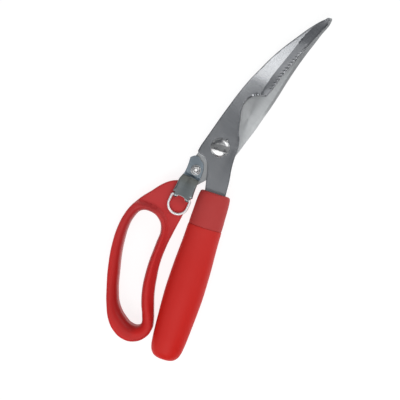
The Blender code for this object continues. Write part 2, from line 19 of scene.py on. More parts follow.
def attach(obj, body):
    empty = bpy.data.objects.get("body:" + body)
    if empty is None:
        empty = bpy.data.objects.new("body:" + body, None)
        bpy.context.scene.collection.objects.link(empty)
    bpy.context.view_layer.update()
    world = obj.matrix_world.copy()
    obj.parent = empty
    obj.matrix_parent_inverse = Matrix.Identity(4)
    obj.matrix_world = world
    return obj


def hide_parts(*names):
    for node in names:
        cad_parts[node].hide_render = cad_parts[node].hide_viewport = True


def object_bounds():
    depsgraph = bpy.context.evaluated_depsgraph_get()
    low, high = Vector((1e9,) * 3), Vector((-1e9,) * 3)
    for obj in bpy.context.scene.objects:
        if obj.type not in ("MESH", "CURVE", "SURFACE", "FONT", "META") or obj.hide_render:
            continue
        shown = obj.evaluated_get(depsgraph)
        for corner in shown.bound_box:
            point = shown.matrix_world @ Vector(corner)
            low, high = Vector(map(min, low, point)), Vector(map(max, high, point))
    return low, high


MM = 0.001
CORNER = "corner"
# The factor that Blender's own automatic Bezier handles use
AUTO_HANDLE = 2.5614

# Blades
BLADE_BOTTOM = 0.15
BLADE_TOP = 3.15
BLADE_TIP_TOP = 1.95
TAPER_START_Y = 50.0
TAPER_ONSET = 7.0
TIP_Y = 111.0
CUTTING_EDGE_Z = 0.65
BLADE_EDGE_RADIUS = 0.3
BLADE_GRID = 1.1
SERRATION_FIRST_Y = 51.5
SERRATION_LAST_Y = 88.5
SERRATION_PITCH = 2.42
SERRATION_DEPTH = 0.36
SERRATION_REACH = 2.4
SERRATION_LEAN = 0.3
# The grind's share of the way to the edge, which grows to all of it over this span of Y
GRIND_SHARE = 0.8
GRIND_FADE = (82.0, 90.0)
NOTCH_CHAMFER = 0.75
NOTCH_CHAMFER_SLOPE = 0.9
HOLLOW_DEPTH = 0.3
SPINE_CHAMFER_WIDTH = 2.3
SPINE_CHAMFER_DROP = 0.32
# Where the rear blade's painted highlight streak runs in from the spine, and its width
HIGHLIGHT_STREAK_AT = 4.5
HIGHLIGHT_STREAK_WIDTH = 5.0

# Pivot
SHANK_RADIUS = 3.0
SHANK_HOLE = 3.1
HEAD_RADIUS = 6.5
HEAD_UNDER = 3.35
HEAD_RIM_TOP = 4.45
HEAD_DOME = 1.9
DOME_STEPS = 12
SLOT_WIDTH = 4.2
SLOT_TURN = math.radians(7.0)
SLOT_DEPTH = 1.5
NOTCH_RADIUS = 1.0
HEAD_EDGE = 0.35
SHANK_END = -7.75
SPRING_WASHER = ((-3.35, -3.95), (3.2, 4.2, 5.2))
NUT_SPAN = (-4.15, -7.15)
NUT_RADIUS = 5.4
NUT_BORE = 3.2
LOCK_PIN_AT = (2.25, 5.95)
LOCK_PIN_RADIUS = 0.8

# Latch
RIVET_AT = (-8.6, -20.75)
RIVET_HOLE = 2.1
RIVET_PROFILE = [(1.05, -1.0), (1.05, 2.75), (1.5, 3.5), (2.15, 3.5), (2.78, 3.0), (2.9, 2.35),
                 (2.0, 2.35), (2.0, -3.35), (3.3, -3.35), (3.0, -4.25), (1.05, -4.25),
                 (1.05, -1.0)]
LATCH_WASHER = ((2.15, 1.65), (2.2, 3.0, 3.6))
SHEET = 1.3
PLATE_TOP = 1.45
TAIL_TOP = 6.1
JOGGLE_TOP_Y = -25.2
JOGGLE_RUN = 1.3
BEND_RADIUS = 0.9
FLANGE_TOP_Y = -30.5
FLANGE_END_Y = -40.2
FLANGE_BOTTOM_Z = 2.5
FLANGE_WIDTH = 1.2
KNUCKLE_Y = -41.5
KNUCKLE_Z = 4.3
KNUCKLE_RADIUS = 1.78
KNUCKLE_SPANS = ((-15.2, -12.9), (-6.4, -4.1))

# Pull ring
WIRE_RADIUS = 0.85
WIRE_BORE = 1.0
RING_CENTRE = (-9.65, -47.0)
RING_RADIUS = 6.75
RING_ELBOW_RADIUS = 1.3
RING_STUB = 2.7
RING_REST_Z = 3.35

# Loop handle
RIM_TOP = 6.5
RIM_OUTER_ROUNDING = 2.4
RIM_INNER_DROP = 5.4
RIM_INNER_WIDTHS = (3.4, 5.2)
# The finger hole's middle line: x at each distance down from the pivot
HOLE_MIDDLE = ((60.0, 76.0, 100.0, 120.0, 136.0), (-24.0, -23.5, -19.8, -13.0, -4.0))
WEB_TOP = 2.2
WEB_BOTTOM = -5.5
WEB_ROUNDING = 1.4
FILLET = 1.8
HANDLE_GRID = 0.62
# Distances down over which the bow's inner wall grows wide and its painted shade grows darker and
# wider
LOW_BOW = (100.0, 138.0)

# Straight grip
GRIP_TOP = (10.45, -29.6)
GRIP_TILT = math.radians(7.35)
GRIP_FLATNESS = 0.8
STEM_RADIUS = 8.0
STEM_END = 104.0
GRIP_STEPS = 128
GRIP_SPACING = 0.8
TANG_CLEARANCE = 0.3

# Heights between which each handle's pocket holds its tang, 0.3 clear of the steel
FRONT_POCKET = (3.45, -0.15)
REAR_POCKET = (0.15, -3.45)

# Dark steel colour painted as shade in the serrations, on the front blade's land, at the bone
# notch, beside the collar, across the rear blade and on the floor of the screw's slot
SHADE_STEEL = (0.10, 0.10, 0.105, 1.0)
# Colour painted as shade on the red plastic round the finger hole, and the span of Y over which
# each plastic's colour is painted darker towards low Y
SHADE_RED = (0.20, 0.010, 0.012, 1.0)
Y_SHADE_SPAN = (-112.0, -28.0)

# Floor: half its side, and the gap that keeps it clear of the lowest piece
FLOOR_REACH = 1600.0
FLOOR_GAP = 0.2

# Camera: what it looks at, how far it leans from straight above, and its turn about that line
CAMERA_AIM = (2.52, -38.2)
CAMERA_LEAN = (math.radians(2.0), math.radians(3.0))
CAMERA_HEIGHT = 600.0
CAMERA_TURN = math.radians(25.1)
PICTURE_WIDTH = 274.2
SENSOR_WIDTH = 36.0

FRONT_BLADE = [
    (30.1, 110.4), (27.4, 107.9), (21.5, 100.0), (15.8, 90.0), (10.4, 80.0), (5.8, 70.0),
    (2.1, 60.0), (-1.4, 50.0), (-4.1, 40.0), (-6.3, 30.0), (-8.3, 20.0), (-10.1, 10.0),
    (-11.7, 1.0), (-12.6, -4.0), (-12.9, -8.2, CORNER), (-11.9, -9.5, CORNER),
    (-6.9, -10.5), (-4.4, -12.6), (-1.2, -18.0), (0.7, -24.0), (2.7, -30.0, CORNER),
]
FRONT_BLADE_CUTTING_SIDE = [
    (17.5, -29.6, CORNER), (16.9, -26.0), (15.4, -18.0), (13.3, -10.0), (12.1, -3.0),
    (11.6, 3.0), (9.8, 10.0), (6.7, 16.0), (4.0, 24.0), (2.4, 29.5), (2.3, 34.5),
    (4.5, 39.6), (8.0, 42.4), (11.6, 43.8), (13.7, 44.7, CORNER), (15.4, 50.0),
    (17.3, 60.0), (19.8, 70.0), (22.7, 80.0), (25.5, 89.0), (29.0, 100.0), (30.9, 107.0),
]
BONE_NOTCH = FRONT_BLADE_CUTTING_SIDE[9:15]
GRIND_START = [(9.2, 41.5), (9.5, 45.0), (10.5, 53.0), (11.7, 60.0), (14.2, 70.0), (16.7, 80.0),
               (19.2, 90.0), (22.4, 100.0), (26.2, 107.0)]
# The outline's own cutting side without its corner mark, and run on past the notch
CUTTING_EDGE = [(13.0, 41.5)] + [point[:2] for point in FRONT_BLADE_CUTTING_SIDE[14:]]
REAR_BLADE = [
    (31.4, 110.88), (32.2, 108.0), (31.6, 104.0), (30.2, 99.5), (28.5, 92.0), (25.8, 80.0),
    (24.0, 70.0), (22.5, 60.0), (21.3, 50.0), (19.9, 40.0), (18.1, 30.0), (16.4, 20.0),
    (14.2, 10.0), (12.0, 0.0), (9.4, -7.0), (5.6, -15.0), (0.7, -24.0), (-3.4, -29.6),
    (-5.4, -32.4, CORNER), (-6.2, -37.0, CORNER), (-7.2, -54.0), (-9.6, -56.5),
    (-12.0, -54.0), (-13.4, -37.0, CORNER), (-14.4, -34.0, CORNER), (-14.5, -26.0),
    (-14.5, -18.0), (-12.3, -9.0), (-11.0, -1.0), (-8.6, 8.0), (-5.6, 17.0), (-1.6, 32.0),
    (2.6, 45.0), (7.8, 60.0), (14.2, 78.0), (20.8, 94.5), (27.4, 106.5), (29.6, 110.0),
]
REAR_GRIND_START = [(2.6, 32.0), (7.2, 45.0), (12.6, 60.0), (19.0, 78.0), (25.2, 94.5),
                    (30.0, 106.5)]
REAR_CUTTING_EDGE = REAR_BLADE[-7:-1]
REAR_SPINE = REAR_BLADE[1:12]
# The bow that the handle's outline and its raised rim share
BOW = [
    (-40.9, -76.0), (-39.7, -89.0), (-35.7, -105.0), (-30.1, -120.0), (-25.6, -130.0),
    (-19.4, -139.8), (-13.3, -144.8), (-5.0, -147.3), (2.4, -145.6), (8.2, -140.0),
    (10.1, -133.0),
]
HANDLE_OUTLINE = [
    (-16.4, -31.9, CORNER), (-20.6, -34.2), (-25.6, -39.2), (-30.5, -46.6), (-35.2, -53.8),
    (-38.3, -60.6), (-40.1, -67.0), *BOW, (8.7, -127.6), (5.3, -120.0), (1.0, -110.0),
    (-1.9, -100.0), (-4.1, -90.0), (-5.0, -78.0), (-4.8, -68.0), (-4.1, -55.0), (-3.5, -43.0),
    (-3.5, -31.9, CORNER),
]
RIM_OUTLINE = [
    (-31.0, -56.6), (-36.6, -58.0), (-39.6, -64.6), *BOW, (6.6, -125.2), (1.5, -117.0),
    (-2.4, -108.0), (-5.2, -98.0), (-7.0, -88.0), (-7.9, -78.0), (-9.0, -69.5), (-11.6, -63.0),
    (-15.8, -58.9), (-20.5, -56.8), (-25.5, -56.2),
]
FINGER_HOLE = [
    (-25.0, -59.7), (-31.2, -61.9), (-34.1, -68.5), (-34.6, -76.0), (-33.4, -85.0),
    (-31.1, -95.0), (-27.8, -105.0), (-22.1, -120.0), (-17.2, -128.0), (-9.8, -133.8),
    (-3.9, -136.0), (0.6, -134.9), (1.8, -132.4), (-0.1, -127.0), (-3.9, -120.0),
    (-7.8, -110.0), (-10.1, -100.0), (-11.5, -90.0), (-12.3, -78.0), (-13.4, -67.5),
    (-17.4, -62.0),
]
TANG_POCKET = [
    (-3.0, -29.8, CORNER), (-4.95, -32.5, CORNER), (-5.8, -37.2, CORNER), (-6.8, -54.2),
    (-9.6, -57.0), (-12.4, -54.2), (-13.8, -37.3, CORNER), (-14.8, -34.2, CORNER),
    (-14.9, -30.0, CORNER),
]
LATCH_PLAN = [
    (-15.8, -14.2, CORNER), (-13.6, -12.0, CORNER), (-10.7, -11.7, CORNER), (-8.2, -13.5),
    (-6.0, -14.7), (-4.4, -17.4), (-3.8, -20.0), (-3.2, -25.4), (-3.3, -31.0),
    (-3.0, -35.0), (-2.4, -39.9, CORNER), (-4.1, -39.9, CORNER), (-4.1, -42.3, CORNER),
    (-6.6, -41.7), (-9.9, -41.0), (-13.0, -41.7), (-15.2, -42.3, CORNER),
    (-15.2, -39.9, CORNER), (-16.9, -39.9, CORNER), (-16.4, -35.0), (-16.4, -31.0),
    (-15.2, -26.0), (-15.1, -20.0),
]
COLLAR_PROFILE = [(0.0, 0.0, CORNER), (9.2, 0.0, CORNER), (9.9, 0.25), (10.5, 0.9), (10.75, 2.0),
                  (11.2, 6.0), (11.5, 14.0), (11.74, 23.2), (11.68, 24.1, CORNER),
                  (11.35, 24.12, CORNER), (11.35, 24.42, CORNER), (10.9, 24.42)]
SLEEVE_PROFILE = [(11.65, 24.45), (11.86, 24.6), (11.95, 25.3), (12.1, 31.0), (12.55, 41.0),
                  (13.1, 51.0), (13.4, 61.0), (13.54, 71.0), (13.25, 81.0), (12.7, 91.0),
                  (12.1, 101.0), (11.53, 108.0), (10.65, 113.5), (9.2, 116.8), (6.8, 119.0),
                  (3.6, 119.8), (0.0, 120.0)]

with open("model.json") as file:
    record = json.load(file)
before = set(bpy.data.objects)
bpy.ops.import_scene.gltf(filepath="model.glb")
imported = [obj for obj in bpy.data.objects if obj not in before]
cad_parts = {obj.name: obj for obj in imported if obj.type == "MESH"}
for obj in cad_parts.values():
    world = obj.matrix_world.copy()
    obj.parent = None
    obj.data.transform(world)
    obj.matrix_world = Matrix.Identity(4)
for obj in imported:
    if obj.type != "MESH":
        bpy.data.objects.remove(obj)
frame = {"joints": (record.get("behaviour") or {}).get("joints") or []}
frame_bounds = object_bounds()
PIVOT = Vector(frame["joints"][0]["pos_m"])


def spot(x, y, z=0.0):
    """A point in the frame's metres from millimetres measured from the pivot."""
    return PIVOT + Vector((x, y, z)) * MM


# ---------------------------------------------------------------- outlines


def handles(before, here, after):
    """The smooth Bezier handles of a point between its neighbours."""
    back = here - before
    ahead = after - here
    back_length = norm(back)
    ahead_length = norm(ahead)
    tangent = ahead / ahead_length + back / back_length
    scale = norm(tangent) * AUTO_HANDLE
    return here - tangent * back_length / scale, here + tangent * ahead_length / scale


def bezier(points, spacing, closed=True):
    """Evenly spaced points along the smooth line through the points given."""
    spots = [np.array(point[:2], float) for point in points]
    count = len(spots)
    line = []
    for index in range(count if closed else count - 1):
        after = (index + 1) % count
        start = spots[index]
        end = spots[after]
        leave = start + (end - start) / 3
        arrive = end - (end - start) / 3
        inner = closed or index > 0
        if CORNER not in points[index] and inner:
            leave = handles(spots[index - 1], start, end)[1]
        inner = closed or after < count - 1
        if CORNER not in points[after] and inner:
            arrive = handles(start, end, spots[(after + 1) % count])[0]
        steps = max(1, round(norm(end - start) / spacing))
        for step in range(steps):
            t = step / steps
            u = 1 - t
            line.append(u**3 * start + 3 * u * u * t * leave + 3 * u * t * t * arrive + t**3 * end)
    if not closed:
        line.append(spots[-1])
    return np.array(line)


def circle(centre, radius, steps):
    angles = np.linspace(0.0, 2 * math.pi, steps, endpoint=False)
    return np.array(centre) + radius * np.column_stack((np.cos(angles), np.sin(angles)))


def distance(spots, line, closed=True):
    """Distance from each spot to a line of points."""
    start = line if closed else line[:-1]
    along = (np.roll(line, -1, axis=0) - line) if closed else line[1:] - line[:-1]
    length = np.maximum((along**2).sum(1), 1e-12)
    found = np.empty(len(spots))
    for first in range(0, len(spots), 1500):
        offset = spots[first:first + 1500, None, :] - start[None]
        share = np.clip((offset * along[None]).sum(2) / length, 0.0, 1.0)
        gap = offset - share[:, :, None] * along[None]
        found[first:first + 1500] = np.sqrt((gap**2).sum(2)).min(1)
    return found


def inside(spots, loop):
    after = np.roll(loop, -1, axis=0)
    x = spots[:, None, 0]
    y = spots[:, None, 1]
    crosses = (loop[None, :, 1] > y) != (after[None, :, 1] > y)
    rise = after[:, 1] - loop[:, 1]
    rise = np.where(np.abs(rise) < 1e-12, 1e-12, rise)
    reach = loop[:, 0] + (y - loop[:, 1]) * (after[:, 0] - loop[:, 0]) / rise
    return (crosses & (x < reach)).sum(1) % 2 == 1


def within(spots, loops):
    """Which spots are inside the first loop and outside the others, which are its holes."""
    keep = inside(spots, loops[0])
    for hole in loops[1:]:
        keep &= ~inside(spots, hole)
    return keep


def inset(loop, depth):
    """The loop moved sideways towards its inside; a negative depth moves it outwards."""
    ahead = np.roll(loop, -1, axis=0) - loop
    ahead = ahead / norm(ahead, axis=1)[:, None]
    normal = np.column_stack((-ahead[:, 1], ahead[:, 0]))
    mean = normal + np.roll(normal, 1, axis=0)
    mean = mean / np.maximum(norm(mean, axis=1), 1e-6)[:, None]
    mitre = np.maximum((mean * normal).sum(1), 0.5)[:, None]
    after = np.roll(loop, -1, axis=0)
    area = (loop[:, 0] * after[:, 1] - after[:, 0] * loop[:, 1]).sum()
    return loop + mean / mitre * depth * math.copysign(1.0, area)


def grid(loop, spacing):
    low = loop.min(0)
    high = loop.max(0)
    rows = np.arange(low[1], high[1], spacing * math.sqrt(0.75))
    points = []
    for index, y in enumerate(rows):
        xs = np.arange(low[0] + spacing / 2 * (index % 2), high[0], spacing)
        points.append(np.column_stack((xs, np.full(len(xs), y))))
    return np.concatenate(points)


def clear_of(spots, others, gap):
    """The spots that have none of the others within the gap."""
    keep = np.empty(len(spots), bool)
    for first in range(0, len(spots), 1500):
        offset = spots[first:first + 1500, None, :] - others[None]
        keep[first:first + 1500] = (offset**2).sum(2).min(1) > gap * gap
    return spots[keep]


def rounded(depth, radius):
    """How far a face has fallen at this distance in from its rounded edge."""
    share = 1 - np.clip(depth / radius, 0.0, 1.0)
    return radius * (1 - np.sqrt(1 - share**2))


def smooth(value, low, high):
    share = np.clip((value - low) / (high - low), 0.0, 1.0)
    return share * share * (3 - 2 * share)


def across(spots, line):
    """x of a line at each spot's y; the line only rises or only falls."""
    ordered = line[np.argsort(line[:, 1])]
    return np.interp(spots[:, 1], ordered[:, 1], ordered[:, 0])


# ---------------------------------------------------------------- meshes


def added(name, data):
    """A new object in the scene, made from its mesh, light or camera."""
    obj = bpy.data.objects.new(name, data)
    bpy.context.scene.collection.objects.link(obj)
    return obj


def finished(name, mesh, body, node, material, angle=38.0):
    """A visible piece: its mesh goes from millimetres round the pivot to the frame's metres.

    It is then shaded, painted and tied to its body, and the CAD node it stands for is hidden.
    """
    mesh.transform(Matrix.Translation(PIVOT) @ Matrix.Scale(MM, 4))
    mesh.update()
    mesh.name = name
    mesh.materials.clear()
    mesh.materials.append(material)
    mesh.shade_smooth()
    mesh.set_sharp_from_angle(angle=math.radians(angle))
    obj = added(name, mesh)
    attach(obj, body)
    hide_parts(node)


def mesh_of(bm, name):
    mesh = bpy.data.meshes.new(name)
    bm.to_mesh(mesh)
    bm.free()
    return mesh


def slab(loops, top, bottom, spacing, edge_radius, extra=(), creases=()):
    """A closed plate between two faces whose heights are functions of place and edge distance."""
    rings = []
    for share in (0.04, 0.16, 0.34, 0.6, 1.0):
        for index, loop in enumerate(loops):
            sign = 1.0 if index == 0 else -1.0
            ring = inset(loop, sign * edge_radius * share)
            off = distance(ring, loop)
            rings.append(ring[off > edge_radius * share * 0.8])
    lines = [np.array(crease, float) for crease in creases]
    scattered = grid(loops[0], spacing)
    for points in extra:
        scattered = np.concatenate((clear_of(scattered, points, 0.6 * spacing), points))
    keep = within(scattered, loops)
    for loop in loops:
        keep &= distance(scattered, loop) > edge_radius + 0.35 * min(spacing, 0.6)
    for line in lines:
        keep &= distance(scattered, line, closed=False) > 0.2
    scattered = scattered[keep]
    points = list(loops) + lines + rings + [scattered]
    edges = []
    start = 0
    for loop in loops:
        count = len(loop)
        edges += [(start + i, start + (i + 1) % count) for i in range(count)]
        start += count
    for line in lines:
        edges += [(start + i, start + i + 1) for i in range(len(line) - 1)]
        start += len(line)
    flat = [Vector(point) for point in np.concatenate(points)]
    made = delaunay_2d_cdt(flat, edges, [], 0, 1e-5, False)
    spots = np.array([tuple(v) for v in made[0]])
    faces = np.array([face for face in made[2] if len(face) == 3])
    faces = faces[within(spots[faces].mean(1), loops)]
    corners = spots[faces]
    side_a = corners[:, 1] - corners[:, 0]
    side_b = corners[:, 2] - corners[:, 0]
    turn = side_a[:, 0] * side_b[:, 1] - side_a[:, 1] * side_b[:, 0]
    faces = np.where((turn < 0)[:, None], faces[:, ::-1], faces)
    used = np.unique(faces)
    renumber = np.zeros(len(spots), int)
    renumber[used] = np.arange(len(used))
    spots = spots[used]
    faces = renumber[faces]
    depth = np.min([distance(spots, loop) for loop in loops], axis=0)
    depth[depth < 1e-4] = 0.0
    count = len(spots)
    upper = np.column_stack((spots, top(spots, depth)))
    lower = np.column_stack((spots, bottom(spots, depth)))
    tally = {}
    for a, b, c in faces.tolist():
        for edge in ((a, b), (b, c), (c, a)):
            if (edge[1], edge[0]) in tally:
                del tally[(edge[1], edge[0])]
            else:
                tally[edge] = True
    walls = [(b, a, a + count, b + count) for a, b in tally]
    under = (faces[:, ::-1] + count).tolist()
    mesh = bpy.data.meshes.new("slab")
    mesh.from_pydata(np.concatenate((upper, lower)).tolist(), [], faces.tolist() + under + walls)
    return mesh


def turned(profile, steps=96, closed=False):
    """A profile of (radius, height) points turned about Z, in millimetres."""
    bm = bmesh.new()
    rings = []
    for radius, height in profile:
        if radius < 1e-6:
            rings.append([bm.verts.new((0.0, 0.0, height))])
            continue
        angles = [2 * math.pi * index / steps for index in range(steps)]
        rings.append([bm.verts.new((radius * math.cos(a), radius * math.sin(a), height))
                      for a in angles])
    pairs = list(zip(rings, rings[1:]))
    if closed:
        pairs.append((rings[-1], rings[0]))
    for first, second in pairs:
        for i in range(steps):
            j = (i + 1) % steps
            corners = [first[i % len(first)], first[j % len(first)],
                       second[j % len(second)], second[i % len(second)]]
            bm.faces.new(list(dict.fromkeys(corners)))
    bmesh.ops.recalc_face_normals(bm, faces=bm.faces)
    return mesh_of(bm, "turned")


def softened(profile, radius=0.2, steps=3):
    """The profile with each inner corner rounded, and each end point kept."""
    points = [np.array(point, float) for point in profile]
    out = [points[0]]
    for before, here, after in zip(points, points[1:], points[2:]):
        reach_back = min(radius, norm(here - before) * 0.45)
        reach_on = min(radius, norm(after - here) * 0.45)
        start = here + (before - here) / norm(before - here) * reach_back
        end = here + (after - here) / norm(after - here) * reach_on
        for step in range(steps + 1):
            t = step / steps
            out.append((1 - t)**2 * start + 2 * t * (1 - t) * here + t * t * end)
    out.append(points[-1])
    return [tuple(point) for point in out]


def moved(mesh, x=0.0, y=0.0, z=0.0):
    mesh.transform(Matrix.Translation((x, y, z)))
    return mesh


def block(size, centre):
    bm = bmesh.new()
    bmesh.ops.create_cube(bm, size=1.0)
    mesh = mesh_of(bm, "block")
    mesh.transform(Matrix.Diagonal((*size, 1.0)))
    return moved(mesh, *centre)


def joined(mesh, tools, operation="DIFFERENCE", bevel=0.0):
    """The mesh with each tool cut out of it or joined on, and its sharp edges then eased."""
    obj = added("work", mesh)
    guides = []
    for tool in tools:
        guide = added("guide", tool)
        modifier = obj.modifiers.new("tool", "BOOLEAN")
        modifier.operation = operation
        modifier.solver = "EXACT"
        modifier.object = guide
        guides.append(guide)
    if bevel:
        ease = obj.modifiers.new("ease", "BEVEL")
        ease.width = bevel
        ease.segments = 3
        ease.limit_method = "ANGLE"
        ease.angle_limit = math.radians(40.0)
    bpy.context.view_layer.update()
    evaluated = obj.evaluated_get(bpy.context.evaluated_depsgraph_get())
    made = bpy.data.meshes.new_from_object(evaluated)
    for extra in [obj] + guides:
        bpy.data.objects.remove(extra, do_unlink=True)
    return made


# ---------------------------------------------------------------- finishes


class Nodes:
    """A small helper that adds and links a material's nodes."""

    def __init__(self, name):
        self.material = bpy.data.materials.new(name)
        self.material.use_nodes = True
        self.tree = self.material.node_tree
        self.shader = self.tree.nodes["Principled BSDF"]
        self.coordinates = self.tree.nodes.new("ShaderNodeTexCoord").outputs["Object"]

    def fill(self, node, **inputs):
        """Set or link a node's inputs, whose names have underscores here in place of spaces."""
        for name, value in inputs.items():
            self.feed(node.inputs[name.replace("_", " ")], value)
        return node

    def node(self, kind, **inputs):
        return self.fill(self.tree.nodes.new(kind), **inputs)

    def surface(self, **inputs):
        self.fill(self.shader, **inputs)

    def feed(self, socket, value):
        if isinstance(value, bpy.types.NodeSocket):
            self.tree.links.new(value, socket)
        else:
            socket.default_value = value

    def stretched(self, size, turn=0.0):
        """Coordinates turned in plan, in which one unit is the size given in millimetres."""
        made = self.node("ShaderNodeMapping", Vector=self.coordinates,
                         Scale=tuple(value * MM for value in size), Rotation=(0.0, 0.0, turn))
        made.vector_type = "TEXTURE"
        return made.outputs["Vector"]

    def noise(self, vector, scale, detail=3.0, roughness=0.5):
        made = self.node("ShaderNodeTexNoise", Vector=vector, Scale=scale, Detail=detail,
                         Roughness=roughness)
        return made.outputs["Fac"]

    def range(self, value, low, high, to_low, to_high):
        made = self.node("ShaderNodeMapRange", Value=value, From_Min=low, From_Max=high,
                         To_Min=to_low, To_Max=to_high)
        return made.outputs["Result"]

    def blend(self, share, first, second):
        made = self.tree.nodes.new("ShaderNodeMix")
        made.data_type = "RGBA"
        self.feed(made.inputs[0], share)
        self.feed(made.inputs[6], first)
        self.feed(made.inputs[7], second)
        return made.outputs[2]

    def with_painted_shade(self, colour, dark):
        """The colour darkened by painted shade, read from the mesh's tone attribute."""
        tone = self.tree.nodes.new("ShaderNodeAttribute")
        tone.attribute_name = "tone"
        share = self.range(tone.outputs["Fac"], 0.0, 1.0, 0.0, 0.85)
        return self.blend(share, colour, dark)

    def maths(self, operation, first, second):
        made = self.tree.nodes.new("ShaderNodeMath")
        made.operation = operation
        self.feed(made.inputs[0], first)
        self.feed(made.inputs[1], second)
        return made.outputs[0]

    def plus(self, base, extra, share):
        """The base with a share of the extra added."""
        return self.maths("ADD", base, self.maths("MULTIPLY", extra, share))

    def bump(self, height, strength, depth, normal=None):
        made = self.node("ShaderNodeBump", Height=height, Strength=strength, Distance=depth)
        if normal is not None:
            self.feed(made.inputs["Normal"], normal)
        return made.outputs["Normal"]


def brushed_steel(name, dark, light, roughness, turn, line_width=0.3, relief=0.12,
                  shade_colour=SHADE_STEEL):
    """Ground steel: fine lines that run across the piece, cloudy sheen, faint scratches, and
    painted shade from the mesh's tone towards the shade colour.
    """
    n = Nodes(name)
    lines = n.noise(n.stretched((14.0, line_width, 1.0), turn), 1.0, 4.0, 0.6)
    bands = n.noise(n.stretched((30.0, 1.2, 4.0), turn), 1.0, 2.0)
    clouds = n.noise(n.coordinates, 60.0, 2.0)
    scratches = n.noise(n.stretched((0.5, 16.0, 2.0), turn + 0.5), 1.0, 2.0)
    scratches = n.range(scratches, 0.68, 0.76, 0.0, 1.0)
    tone = n.plus(n.plus(n.maths("MULTIPLY", lines, 0.5), bands, 0.15), clouds, 0.35)
    colour = n.blend(n.range(tone, 0.38, 0.62, 0.0, 1.0), dark, light)
    rough = n.range(tone, 0.35, 0.65, roughness * 0.88, roughness * 1.12)
    rough = n.plus(rough, scratches, 0.06)
    normal = n.bump(lines, relief, 0.00001)
    n.surface(Base_Color=n.with_painted_shade(colour, shade_colour), Metallic=1.0, Roughness=rough, Anisotropic=0.3,
              Normal=n.bump(scratches, 0.1, 0.00001, normal))
    return n.material


def turned_steel(name, dark, light, roughness, centre):
    """Bright steel with fine rings from turning, small dents, a little tarnish, and painted shade
    from the mesh's tone.
    """
    n = Nodes(name)
    offset = n.node("ShaderNodeMapping", Vector=n.coordinates,
                    Location=tuple(-value for value in centre)).outputs["Vector"]
    wave = n.node("ShaderNodeTexWave", Vector=offset, Scale=900.0, Distortion=1.5)
    wave.wave_type = "RINGS"
    wave.rings_direction = "Z"
    clouds = n.noise(n.coordinates, 420.0, 4.0)
    specks = n.range(n.noise(n.coordinates, 1500.0, 2.0), 0.6, 0.72, 0.0, 1.0)
    colour = n.blend(n.range(clouds, 0.3, 0.7, 0.0, 1.0), dark, light)
    rough = n.range(clouds, 0.3, 0.7, roughness * 0.75, roughness * 1.35)
    normal = n.bump(wave.outputs["Fac"], 0.08, 0.00001)
    n.surface(Base_Color=n.with_painted_shade(colour, SHADE_STEEL), Metallic=1.0, Roughness=rough,
              Normal=n.bump(specks, 0.1, 0.00002, normal))
    return n.material


def plated(name, colour, tarnish, roughness):
    """Polished plate with a soft waviness and hairline wear."""
    n = Nodes(name)
    waves = n.noise(n.coordinates, 260.0, 3.0)
    hairs = n.noise(n.stretched((3.0, 0.4, 0.4), 0.4), 1.0, 2.0)
    hairs = n.range(hairs, 0.62, 0.72, 0.0, 1.0)
    rough = n.plus(n.range(waves, 0.3, 0.7, roughness * 0.7, roughness * 1.5), hairs, 0.08)
    n.surface(Base_Color=n.blend(n.range(waves, 0.45, 0.75, 0.0, 1.0), colour, tarnish),
              Metallic=0.55, Roughness=rough,
              Normal=n.bump(n.maths("ADD", waves, hairs), 0.05, 0.00003))
    return n.material


def moulded_plastic(name, deep, pale, roughness, grain=1800.0):
    """Moulded plastic with a fine spark-eroded grain, slow colour drift, light scuffs, painted
    shade that darkens it towards low Y, and painted shade from the mesh's tone.
    """
    n = Nodes(name)
    pebbles = n.node("ShaderNodeTexVoronoi", Vector=n.coordinates, Scale=grain)
    pebbles = n.range(pebbles.outputs["Distance"], 0.0, 0.8, 1.0, 0.0)
    fine = n.noise(n.coordinates, grain * 1.7, 3.0)
    slow = n.noise(n.coordinates, 26.0, 2.0)
    scuffs = n.noise(n.stretched((5.0, 17.0, 5.0), 0.35), 1.0, 5.0, 0.7)
    scuffs = n.range(scuffs, 0.62, 0.78, 0.0, 1.0)
    # Painted shade: the colour runs from deep at low Y to pale higher up
    along = n.node("ShaderNodeSeparateXYZ", Vector=n.coordinates).outputs["Y"]
    painted_light_by_y = n.range(along, Y_SHADE_SPAN[0] * MM, Y_SHADE_SPAN[1] * MM, 0.0, 0.75)
    share = n.maths("ADD", painted_light_by_y, n.range(slow, 0.3, 0.7, -0.12, 0.12))
    share = n.plus(share, scuffs, 0.15)
    colour = n.blend(n.range(share, 0.0, 1.0, 0.0, 1.0), deep, pale)
    rough = n.plus(n.range(slow, 0.3, 0.7, roughness * 0.9, roughness * 1.12), scuffs, 0.1)
    rough = n.maths("ADD", rough, n.range(fine, 0.3, 0.7, -0.04, 0.04))
    normal = n.bump(pebbles, 0.12, 0.00005)
    n.surface(Base_Color=n.with_painted_shade(colour, SHADE_RED), Roughness=rough, Specular_IOR_Level=0.2,
              Normal=n.bump(fine, 0.1, 0.00003, normal))
    return n.material


# ---------------------------------------------------------------- pieces


def taper(y):
    """How far a blade's outer face has dropped towards its tip."""
    beyond = np.clip(y - TAPER_START_Y, 0.0, None)
    eased = np.where(beyond < TAPER_ONSET, beyond**2 / (2 * TAPER_ONSET), beyond - TAPER_ONSET / 2)
    return eased * (BLADE_TOP - BLADE_TIP_TOP) / (TIP_Y - TAPER_START_Y)


def ground(spots, start_line, edge_line, side):
    """0 on the flat face, rising to 1 at the cutting edge on that side of the start line."""
    past = side * (spots[:, 0] - across(spots, start_line))
    width = side * (across(spots, edge_line) - across(spots, start_line))
    share = np.clip(past / np.maximum(width, 0.3), 0.0, 1.0)
    low = min(start_line[0][1], start_line[-1][1])
    return np.where(spots[:, 1] >= low, share, 0.0)


def along_grip(along, offset):
    x = GRIP_TOP[0] + along * math.sin(GRIP_TILT) + offset * math.cos(GRIP_TILT)
    y = GRIP_TOP[1] - along * math.cos(GRIP_TILT) + offset * math.sin(GRIP_TILT)
    return (x, y)


